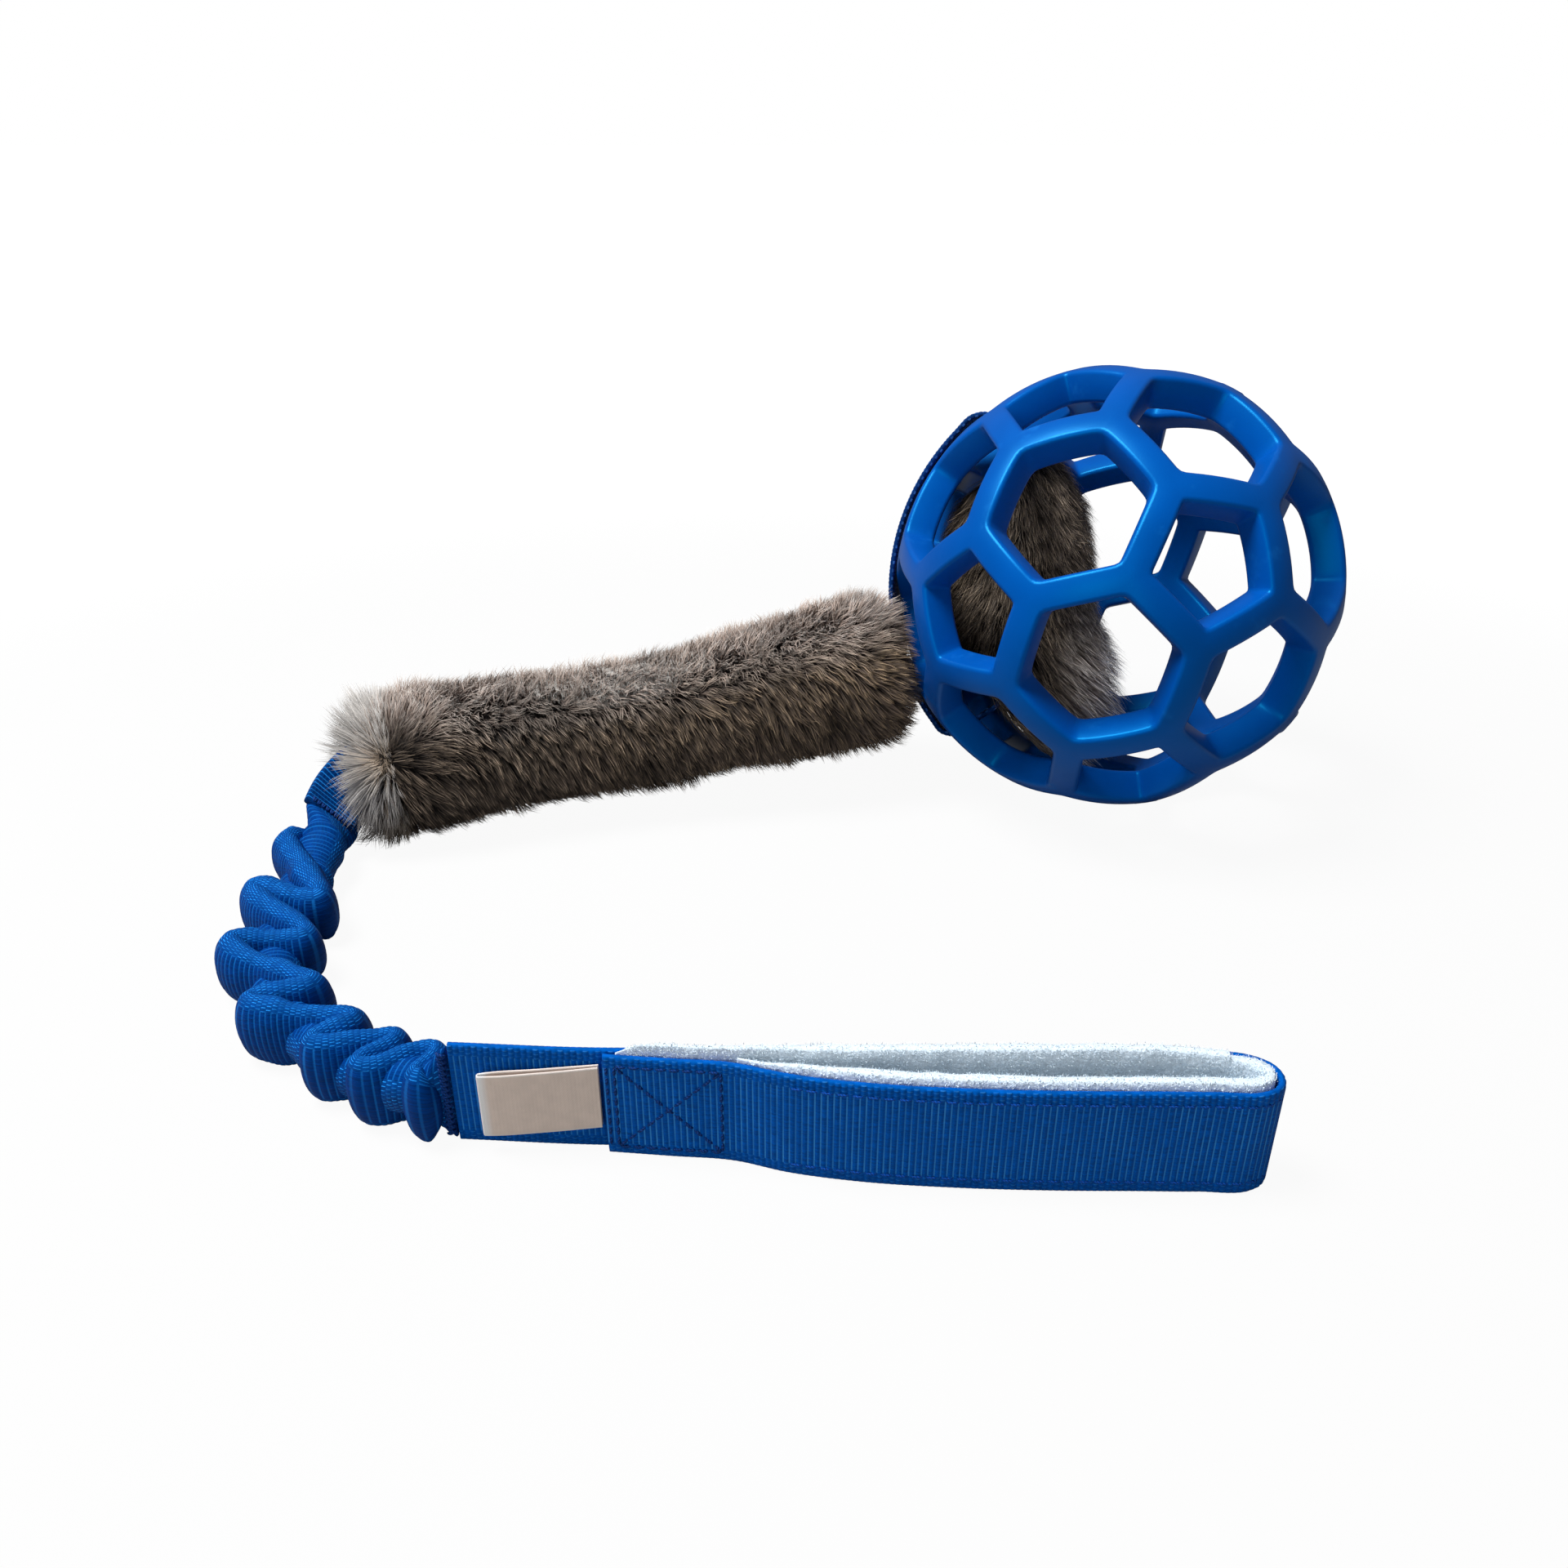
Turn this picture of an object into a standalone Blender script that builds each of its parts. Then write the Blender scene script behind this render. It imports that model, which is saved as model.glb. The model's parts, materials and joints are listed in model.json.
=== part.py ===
"""A dog tug toy, lying on a floor as it is photographed for sale. A rubber lattice ball is caught in a webbing
loop, the loop runs into a fur-covered tug, and a ruched elastic section joins the tug to a lined hand loop that
stands on its edge. X runs to the right, Y runs away from the viewer, and the origin is on the floor under the
middle of the sewn overlap of the hand loop."""

from math import asin, atan2, cos, degrees, pi, radians, sin

import bmesh
import bpy
from mathutils import Euler, Matrix, Vector

NAME = "dog_tug_toy"

# Clearances and thread that every group shares
SEAT_GAP = 0.0003
CUT_OVERRUN = 0.004
THREAD = 0.0008

# Lattice ball: twelve five-sided and twenty six-sided windows
BALL_RADIUS = 0.0635
BALL_WALL = 0.009
STRUT_WIDTH = 0.0085
BALL_TURN_DEGREES = (6.13, -21.16, 2.90)
WINDOW_CORNER_SHARE = 0.92

# Webbing loop round the ball's left side, drawn flat in its own plane and as wide as the webbing across it
LOOP_TURN_DEGREES = (71.1, -4.66, -13.34)
LOOP_THICKNESS = 0.0016
LOOP_WIDTH = 0.017
LOOP_SHIFT = -0.0035
LOOP_PLAY = 0.0006
LOOP_NOSE = 0.0022
MOUTH_DEGREES = 197.9
LOOP_IN_DEGREES = 129.5
LOOP_OUT_DEGREES = 221.0

# Radii as shares of the ball's, with degrees past the loop's entry, or past its exit in the last table
loop_entry_shares = ((0.992, -3.0), (0.945, -4.6), (0.85, -4.8), (0.72, -3.0))
loop_inside_shares = ((0.57, 5.0), (0.45, 22.0), (0.39, 48.0), (0.42, 73.0))
loop_exit_shares = ((0.55, 4.0), (0.72, 6.0), (0.85, 4.6), (0.945, 3.8), (0.992, 2.6))

# Fur roll on the run of the loop inside the ball
ROLL_RADIUS = 0.0195
roll_radius_shares = (0.74, 0.90, 0.98, 1.00, 1.06, 1.10, 1.02)

# Fur-covered tug
TUG_LENGTH = 0.1535
TUG_HEADING_DEGREES = 12.3
SLEEVE_RADIUS = 0.0222
SLEEVE_BORE = 0.0155
SLEEVE_MOUTH_BORE = 0.0112
SLEEVE_END_LENGTH = 0.009
SLEEVE_SETBACK = 0.0040
sleeve_mouth_shares = ((0.58, 0.0), (0.74, 0.08), (0.84, 0.25), (0.91, 0.55), (0.95, 1.0))
sleeve_side_shares = ((0.93, 0.80), (0.925, 0.60), (0.93, 0.40), (0.96, 0.20), (0.99, 0.08))
sleeve_foot_shares = ((1.0, 0.5), (0.98, 0.18), (0.92, 0.0))
CORE_THICKNESS = 0.0035
CORE_STANDOFF = 0.0010
TWIST_END_SHARE = 0.8
SEAM_GROOVE_WIDTH = 0.0026
SEAM_GROOVE_DEPTH = 0.0040
SEAM_TURN_DEGREES = 160.0
SEAM_STITCH = 0.0040

# Neck webbing between the tug and the elastic section
NECK_STANDOFF = 0.0060
NECK_LENGTH = 0.0290
NECK_WIDTH = 0.0160
NECK_THICKNESS = 0.0024

# Elastic section: a ruched webbing tube over an elastic core
BUNGEE_CHORD = 0.1447
BUNGEE_HEADING_DEGREES = 111.65
RUFFLE_RADIUS = 0.0119
RUFFLE_DEPTH = 0.0030
RUFFLE_SWAY = 0.0014
RUFFLES = 7
POINTS_PER_RUFFLE = 6
CORE_RADIUS = 0.0047
bungee_route_shares = (
    (0.0, 0.0),
    (0.058, 0.056),
    (0.140, 0.117),
    (0.221, 0.168),
    (0.326, 0.213),
    (0.465, 0.217),
    (0.612, 0.188),
    (0.785, 0.128),
    (0.930, 0.064),
    (1.0, 0.0),
)
ruffle_size_shares = (1.0, 0.98, 0.94, 0.92, 0.96, 1.0, 0.98, 0.96, 0.90, 0.78)

# Hand loop: one strip of webbing, folded back and sewn on itself, with a fleece lining
WEBBING_HEIGHT = 0.025
WEBBING_THICKNESS = 0.0016
LINING_THICKNESS = 0.0020
LINING_TRIM = 0.0004
LINING_EDGE_SHARE = 0.25
OVERLAP_LENGTH = 0.026
LABEL_STRAP_LENGTH = 0.030
STRAP_KICK = 0.0018
HAND_LOOP_REACH = 0.1190
HAND_LOOP_WIDTH = 0.0129
HAND_LOOP_FOLD = 0.0052
far_side_shares = ((0.25, 0.04), (0.40, 0.06), (0.55, 0.06), (0.70, 0.06), (0.83, 0.03), (0.905, -0.05))
near_side_shares = ((0.88, -1.01), (0.78, -1.0), (0.65, -0.99), (0.48, -0.93), (0.32, -0.80), (0.20, -0.60))
fold_degrees = (60, 38, 16, -6, -28, -50, -72)
LINING_START_SHARE = 0.35
LINING_END_REACH = 0.024
TACK_RADIUS = 0.0018
BOX_STITCH_LENGTH = 0.0212
BOX_STITCH_HEIGHT = 0.0205
STITCH_LINE = 0.0009
EDGE_STITCH_INSET = 0.0028

# Folded label, sewn in beside the overlap
LABEL_LENGTH = 0.0245
LABEL_HEIGHT = 0.0155
LABEL_LEAF = 0.0004
LABEL_OPENING = 0.0005
LABEL_LIFT = 0.0062

COLOURS = {
    "ball_rubber": ((0.0, 0.16, 0.72, 1.0), 0.38),
    "loop_webbing": ((0.01, 0.05, 0.30, 1.0), 0.75),
    "webbing": ((0.0, 0.10, 0.50, 1.0), 0.70),
    "ruched_webbing": ((0.0, 0.13, 0.60, 1.0), 0.65),
    "fur": ((0.19, 0.15, 0.12, 1.0), 0.95),
    "padding": ((0.55, 0.53, 0.50, 1.0), 0.95),
    "elastic": ((0.75, 0.74, 0.70, 1.0), 0.80),
    "fleece": ((0.48, 0.60, 0.68, 1.0), 1.0),
    "label": ((0.80, 0.77, 0.72, 1.0), 0.80),
    "thread": ((0.0, 0.05, 0.30, 1.0), 0.60),
    "pale_thread": ((0.50, 0.45, 0.38, 1.0), 0.60),
}


def clear_scene():
    for obj in list(bpy.data.objects):
        bpy.data.objects.remove(obj, do_unlink=True)


def new_collection(name, hidden=False):
    collection = bpy.data.collections.new(name)
    collection.hide_render = hidden
    bpy.context.scene.collection.children.link(collection)
    return collection


def material(name):
    found = bpy.data.materials.get(name)
    if found:
        return found
    colour, roughness = COLOURS[name]
    made = bpy.data.materials.new(name)
    made.use_nodes = True
    shader = made.node_tree.nodes["Principled BSDF"]
    shader.inputs["Base Color"].default_value = colour
    shader.inputs["Roughness"].default_value = roughness
    shader.inputs["Metallic"].default_value = 0.0
    made.diffuse_color = colour
    return made


def length_of(points):
    return sum((b - a).length for a, b in zip(points, points[1:]))


def smooth(points, steps):
    """Points of a smooth curve through the given ones, with a number of steps to each span."""
    spans = [(b - a).length for a, b in zip(points, points[1:])]
    ways = [(b - a) / size for a, b, size in zip(points, points[1:], spans)]
    slopes = [ways[0]]
    for (before, after), (way, onward) in zip(zip(spans, spans[1:]), zip(ways, ways[1:])):
        slopes.append((way * after + onward * before) / (before + after))
    slopes.append(ways[-1])
    found = []
    for start, end, size, leave, arrive in zip(points, points[1:], spans, slopes, slopes[1:]):
        for step in range(steps):
            t = step / steps
            rise = (3 - 2 * t) * t**2
            found.append(start.lerp(end, rise) + (leave * (1 - t) - arrive * t) * size * t * (1 - t))
    return [*found, points[-1].copy()]


def stretch(points, start, end, count):
    """Evenly spaced points between two lengths measured along a route."""
    wanted = [start + (end - start) * i / (count - 1) for i in range(count)]
    found = []
    travelled = 0.0
    spans = list(zip(points, points[1:]))
    for index, (a, b) in enumerate(spans):
        size = (b - a).length
        last = index == len(spans) - 1
        while wanted and (wanted[0] <= travelled + size or last):
            found.append(a.lerp(b, (wanted.pop(0) - travelled) / size))
        travelled += size
    return found


def first_index(points, test):
    return next(i for i, point in enumerate(points) if test(point))


def left_normals(points):
    """The unit normal to the left of a route at each of its points, in the plane of X and Y."""
    found = []
    for i in range(len(points)):
        way = points[min(i + 1, len(points) - 1)] - points[max(i - 1, 0)]
        found.append(Vector((-way.y, way.x, 0)).normalized())
    return found


def offset(points, distances):
    """The route moved sideways, to its left by each distance."""
    if isinstance(distances, float):
        distances = [distances] * len(points)
    return [p + n * d for p, n, d in zip(points, left_normals(points), distances)]


def strip_outline(points, left, right):
    """The outline of a strip that follows a route, between two offsets to its left."""
    return offset(points, left) + offset(points, right)[::-1]


def polar(radius, angle):
    return Vector((radius * cos(radians(angle)), radius * sin(radians(angle)), 0))


def turned(angles):
    return Euler([radians(a) for a in angles]).to_matrix().to_4x4()


def frame(origin, right, up):
    """The matrix of a frame whose X runs right and whose Y runs as near up as it can."""
    x = right.normalized()
    z = x.cross(up).normalized()
    y = z.cross(x)
    return Matrix.Translation(origin) @ Matrix((x, y, z)).transposed().to_4x4()


def add(name, data, finish, body, matrix=None):
    """A named sub-part at its place in the world, carried by its body's empty."""
    obj = bpy.data.objects.new(name, data)
    data.materials.append(material(finish))
    parts.objects.link(obj)
    obj.matrix_world = matrix or Matrix()
    obj.parent = body
    obj.matrix_parent_inverse = body.matrix_world.inverted()
    return obj


def as_cutter(obj):
    parts.objects.unlink(obj)
    cutters.objects.link(obj)
    obj.hide_render = True
    obj.display_type = "WIRE"
    return obj


def add_pivot(name, place):
    empty = bpy.data.objects.new(name, None)
    empty.empty_display_size = THREAD
    parts.objects.link(empty)
    empty.location = place
    bpy.context.view_layer.update()
    return empty


def plate(name, outlines, thickness, finish, body, matrix):
    """A flat outline, with any holes, made a plate that lies about its frame's XY plane."""
    curve = bpy.data.curves.new(name, "CURVE")
    curve.dimensions = "2D"
    curve.fill_mode = "BOTH"
    curve.extrude = thickness / 2
    for outline in outlines:
        spline = curve.splines.new("POLY")
        spline.points.add(len(outline) - 1)
        for point, place in zip(spline.points, outline):
            point.co = (place.x, place.y, 0, 1)
        spline.use_cyclic_u = True
    return add(name, curve, finish, body, matrix)


def tube(name, points, radius, finish, body, matrix=None, shares=None, sides=2, closed=False):
    """A round tube along a route, with capped ends unless it closes on itself."""
    curve = bpy.data.curves.new(name, "CURVE")
    curve.dimensions = "3D"
    curve.bevel_depth = radius
    curve.bevel_resolution = sides
    curve.use_fill_caps = not closed
    spline = curve.splines.new("POLY")
    spline.points.add(len(points) - 1)
    for i, (point, place) in enumerate(zip(spline.points, points)):
        point.co = (*place, 1)
        point.radius = shares[i] if shares else 1
    spline.use_cyclic_u = closed
    return add(name, curve, finish, body, matrix)


def meshed(obj):
    """The same sub-part as a mesh with its caps welded, so that it can be cut."""
    bpy.context.view_layer.update()
    graph = bpy.context.evaluated_depsgraph_get()
    mesh = bpy.data.meshes.new_from_object(obj.evaluated_get(graph))
    bm = bmesh.new()
    bm.from_mesh(mesh)
    bmesh.ops.remove_doubles(bm, verts=bm.verts, dist=SEAT_GAP / 10)
    bmesh.ops.recalc_face_normals(bm, faces=bm.faces)
    bm.to_mesh(mesh)
    bm.free()
    name, body, matrix = obj.name, obj.parent, obj.matrix_world.copy()
    bpy.data.objects.remove(obj, do_unlink=True)
    made = bpy.data.objects.new(name, mesh)
    parts.objects.link(made)
    made.matrix_world = matrix
    made.parent = body
    made.matrix_parent_inverse = body.matrix_world.inverted()
    return made


def cut(obj, cutter):
    modifier = obj.modifiers.new(cutter.name, "BOOLEAN")
    modifier.operation = "DIFFERENCE"
    modifier.solver = "EXACT"
    modifier.object = cutter


def lathe(name, profile, steps, finish, body, matrix):
    """A closed profile of radius and height, turned about its frame's Z. Its outer side runs down."""
    bm = bmesh.new()
    corners = [bm.verts.new((radius, 0, height)) for radius, height in profile]
    for a, b in zip(corners, corners[1:] + corners[:1]):
        bm.edges.new((a, b))
    mesh = bpy.data.meshes.new(name)
    bm.to_mesh(mesh)
    bm.free()
    obj = add(name, mesh, finish, body, matrix)
    screw = obj.modifiers.new("turn", "SCREW")
    screw.axis = "Z"
    screw.angle = 2 * pi
    screw.steps = steps
    screw.render_steps = steps
    screw.use_smooth_shade = True
    return obj


def block(name, low, high, finish, body, matrix, cuts=0):
    """A box between two corners of its frame, cut across its Z as often as asked."""
    bm = bmesh.new()
    bmesh.ops.create_cube(bm, size=1)
    size = Vector(high) - Vector(low)
    for vert in bm.verts:
        vert.co = Vector([l + s * (c + 0.5) for l, s, c in zip(low, size, vert.co)])
    if cuts:
        upright = [e for e in bm.edges if abs(e.verts[0].co.z - e.verts[1].co.z) > size.z / 2]
        bmesh.ops.subdivide_edges(bm, edges=upright, cuts=cuts, use_grid_fill=True)
    mesh = bpy.data.meshes.new(name)
    bm.to_mesh(mesh)
    bm.free()
    return add(name, mesh, finish, body, matrix)


def add_twist(obj, angle, length_share=1.0):
    """Twists a strap about its frame's Z, over the first part of its length."""
    twist = obj.modifiers.new("twist", "SIMPLE_DEFORM")
    twist.deform_method = "TWIST"
    twist.deform_axis = "Z"
    twist.angle = angle
    twist.limits = (0.0, TWIST_END_SHARE * length_share)


def zigzag(length, reach, stitches):
    """A zigzag of thread along X, reaching to both sides of it."""
    return [
        Vector((length * (i / stitches - 0.5), reach * (1 if i % 2 else -1), 0)) for i in range(stitches + 1)
    ]


def lattice_mesh():
    """A ball's football lattice as an open strip along every edge, ready to be given its wall."""
    bm = bmesh.new()
    bmesh.ops.create_icosphere(bm, subdivisions=1, radius=BALL_RADIUS)
    bm.edges.ensure_lookup_table()
    edge = bm.edges[0].calc_length()
    bmesh.ops.bevel(
        bm,
        geom=bm.verts[:] + bm.edges[:],
        offset=edge / 3,
        offset_type="OFFSET",
        segments=1,
        affect="VERTICES",
    )
    bmesh.ops.subdivide_edges(bm, edges=bm.edges[:], cuts=1)
    for vert in bm.verts:
        vert.co = vert.co.normalized() * BALL_RADIUS
    windows = bm.faces[:]
    bmesh.ops.inset_individual(bm, faces=windows, thickness=STRUT_WIDTH / 2, use_even_offset=True)
    for window in windows:
        centre = window.calc_center_median()
        reach = sum((v.co - centre).length for v in window.verts) / len(window.verts)
        for vert in window.verts:
            arm = vert.co - centre
            if arm.length > reach:
                vert.co = centre + arm * WINDOW_CORNER_SHARE
    bmesh.ops.delete(bm, geom=windows, context="FACES")
    for vert in bm.verts:
        vert.co = vert.co.normalized() * BALL_RADIUS
    mesh = bpy.data.meshes.new("ball_lattice")
    bm.to_mesh(mesh)
    bm.free()
    return mesh


def build_ball(body, turn, mesh):
    ball = add("ball_lattice", mesh, "ball_rubber", body, Matrix.Translation(body.location) @ turn)
    wall = ball.modifiers.new("wall", "SOLIDIFY")
    wall.thickness = BALL_WALL
    wall.offset = -1
    mesh.shade_smooth()


def loop_route():
    """The middle line of the loop in its own plane, from the mouth through two windows and back."""
    hug = BALL_RADIUS + LOOP_PLAY + LOOP_THICKNESS / 2
    mouth = hug + LOOP_THICKNESS / 2 + LOOP_NOSE
    half = (LOOP_THICKNESS + SEAT_GAP) / 2
    turn = degrees((half + LOOP_THICKNESS * 1.3) / hug)
    ends = degrees(half / mouth)
    upper = [polar(mouth, MOUTH_DEGREES - ends), polar(hug + LOOP_THICKNESS, MOUTH_DEGREES - ends * 1.15)]
    arc_steps = 12
    for i in range(arc_steps + 1):
        angle = MOUTH_DEGREES - turn + (LOOP_IN_DEGREES - MOUTH_DEGREES + turn) * i / arc_steps
        upper.append(polar(hug, angle))
    inner = [polar(BALL_RADIUS * radius, LOOP_IN_DEGREES + turn) for radius, turn in loop_entry_shares]
    inner += [polar(BALL_RADIUS * radius, LOOP_IN_DEGREES + turn) for radius, turn in loop_inside_shares]
    inner += [polar(BALL_RADIUS * radius, LOOP_OUT_DEGREES + turn) for radius, turn in loop_exit_shares]
    lower = []
    for i in range(arc_steps // 2 + 1):
        angle = LOOP_OUT_DEGREES + (MOUTH_DEGREES + turn - LOOP_OUT_DEGREES) * i / (arc_steps // 2)
        lower.append(polar(hug, angle))
    lower += [polar(hug + LOOP_THICKNESS, MOUTH_DEGREES + ends * 1.15), polar(mouth, MOUTH_DEGREES + ends)]
    return smooth(upper + inner + lower, 3), mouth


def build_ball_loop(body, turn, centre):
    """The loop's webbing, the fur roll on its inner run, and the tacks that hold the roll."""
    place = Matrix.Translation(centre) @ turn @ Matrix.Translation((0, 0, LOOP_SHIFT))
    route, _ = loop_route()
    half = LOOP_THICKNESS / 2
    plate("loop_webbing", [strip_outline(route, half, -half)], LOOP_WIDTH, "loop_webbing", body, place)

    deep = BALL_RADIUS - BALL_WALL
    inside = [p for p in route if p.length < deep * 0.86]
    run = stretch(inside, 0.0, length_of(inside), len(roll_radius_shares) * 2 - 1)
    shares = []
    for a, b in zip(roll_radius_shares, roll_radius_shares[1:]):
        shares += [a, (a + b) / 2]
    shares.append(roll_radius_shares[-1])
    roll = meshed(tube("loop_fur", run, ROLL_RADIUS, "fur", body, place, shares, sides=5))
    slot_half = half + SEAT_GAP
    slot = plate(
        "loop_fur_slot",
        [strip_outline(route, slot_half, -slot_half)],
        LOOP_WIDTH + 2 * SEAT_GAP,
        "fur",
        body,
        place,
    )
    cut(roll, as_cutter(meshed(slot)))

    for name, end, step in (("upper", inside[0], 1), ("lower", inside[-1], -1)):
        near = min(range(len(route)), key=lambda i: (route[i] - end).length)
        at = route[near - 2 * step]
        way = (route[near - 3 * step] - route[near - step]).normalized()
        side = Vector((-way.y, way.x, 0)) * (half + SEAT_GAP + THREAD / 2) * step
        tack_place = place @ frame(at + side, Vector((0, 0, 1)), way)
        points = zigzag(LOOP_WIDTH - 4 * THREAD, THREAD, 12)
        tube(f"loop_fur_tack_{name}", points, THREAD / 2, "thread", body, tack_place, sides=0)


def sleeve_profile(length):
    """Radius and height of the fur sleeve from its ball end down to its neck end, and back up its bore."""
    rise = SLEEVE_END_LENGTH
    profile = [(SLEEVE_RADIUS * radius, length - rise * back) for radius, back in sleeve_mouth_shares]
    profile += [(SLEEVE_RADIUS * radius, length * height) for radius, height in sleeve_side_shares]
    profile += [(SLEEVE_RADIUS * radius, rise * height) for radius, height in sleeve_foot_shares]
    return profile + [(SLEEVE_BORE, 0.0), (SLEEVE_BORE, length - rise), (SLEEVE_MOUTH_BORE, length)]


def build_tug(body, place, length, hinge):
    """The fur sleeve, its seam, the padding, and the webbing that carries the pull through them."""
    sleeve = lathe("fur_sleeve", sleeve_profile(length), 24, "fur", body, place)
    seam_turn = Matrix.Rotation(radians(SEAM_TURN_DEGREES), 4, "Z")
    floor = SLEEVE_RADIUS - SEAM_GROOVE_DEPTH
    groove = block(
        "seam_groove",
        (floor, -SEAM_GROOVE_WIDTH / 2, SLEEVE_END_LENGTH),
        (SLEEVE_RADIUS + CUT_OVERRUN, SEAM_GROOVE_WIDTH / 2, length - SLEEVE_END_LENGTH),
        "fur",
        body,
        place @ seam_turn,
    )
    cut(sleeve, as_cutter(groove))
    seam_length = length - 2 * SLEEVE_END_LENGTH - SEAM_STITCH
    seam_place = place @ seam_turn @ frame(
        Vector((floor + SEAT_GAP + THREAD / 2, 0, length / 2)), Vector((0, 0, 1)), Vector((0, 1, 0))
    )
    seam_reach = SEAM_GROOVE_WIDTH / 2 - SEAT_GAP - THREAD / 2
    points = zigzag(seam_length, seam_reach, round(seam_length / SEAM_STITCH))
    tube("sleeve_seam", points, THREAD / 2, "pale_thread", body, seam_place, sides=0)

    half = LOOP_WIDTH / 2
    across = place.to_3x3().transposed() @ hinge
    upright = place.to_3x3().transposed() @ Vector((0, 0, 1))
    twist_by = atan2(across.y, across.x)
    slant = across.z / Vector((across.x, across.y)).length
    start = NECK_THICKNESS / 2 + SEAT_GAP - NECK_STANDOFF
    end = length + SLEEVE_SETBACK - CORE_STANDOFF
    strap = block(
        "core_webbing",
        (-half, -CORE_THICKNESS / 2, 0.0),
        (half, CORE_THICKNESS / 2, end - start),
        "webbing",
        body,
        place @ Matrix.Translation((0, 0, start)),
        cuts=16,
    )
    for vert in strap.data.vertices:
        if vert.co.z > end - start - SEAT_GAP:
            vert.co.z += vert.co.x * slant
        elif vert.co.z < SEAT_GAP:
            vert.co.z += vert.co.x * upright.z / upright.x
    add_twist(strap, twist_by)

    outer = SLEEVE_BORE - SEAT_GAP
    inner = CORE_THICKNESS / 4
    top = length - SLEEVE_END_LENGTH - SEAT_GAP
    ring = [(SLEEVE_MOUTH_BORE - SEAT_GAP, length - SEAT_GAP), (outer, top), (outer, SEAT_GAP)]
    ring += [(inner, SEAT_GAP), (inner, length - SEAT_GAP)]
    padding = lathe("core_padding", ring, 24, "padding", body, place)
    side = CORE_THICKNESS / 2 + THREAD + SEAT_GAP * 2
    slot = block(
        "core_padding_slot",
        (-half - SEAT_GAP, -side, 0.0),
        (half + SEAT_GAP, side, end - start + CUT_OVERRUN),
        "padding",
        body,
        place @ Matrix.Translation((0, 0, start)),
        cuts=16,
    )
    add_twist(slot, twist_by, (end - start) / (end - start + CUT_OVERRUN))
    cut(padding, as_cutter(slot))

    stitch_place = place @ Matrix.Rotation(twist_by, 4, "Z") @ frame(
        Vector((0, CORE_THICKNESS / 2 + SEAT_GAP + THREAD / 2, length - LOOP_WIDTH)),
        Vector((1, 0, 0)),
        Vector((0, 0, 1)),
    )
    points = zigzag(LOOP_WIDTH * 0.7, THREAD * 3, 12)
    tube("core_stitch", points, THREAD / 2, "thread", body, stitch_place, sides=0)

    mouth = SLEEVE_MOUTH_BORE + THREAD
    foot = SLEEVE_BORE + THREAD * 2
    past = SEAT_GAP + THREAD / 2
    for name, radius, height in (("neck", foot, -past), ("ball", mouth, length + past)):
        circle = [polar(radius, 360 * i / 24) for i in range(24)]
        ring_place = place @ Matrix.Translation((0, 0, height))
        tube(f"{name}_end_gather", circle, THREAD / 2, "pale_thread", body, ring_place, sides=0, closed=True)


def bungee_route(tail, heading):
    """The way of the neck and the elastic section on the floor, from the tug's neck to the hand strap."""
    out = Vector((cos(heading), sin(heading), 0)) * BUNGEE_CHORD
    aside = Vector((-out.y, out.x, 0))
    return smooth([tail + out * a + aside * b for a, b in bungee_route_shares], 8)[::-1]


def at_height(points, heights):
    return [Vector((p.x, p.y, h)) for p, h in zip(points, heights)]


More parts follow.
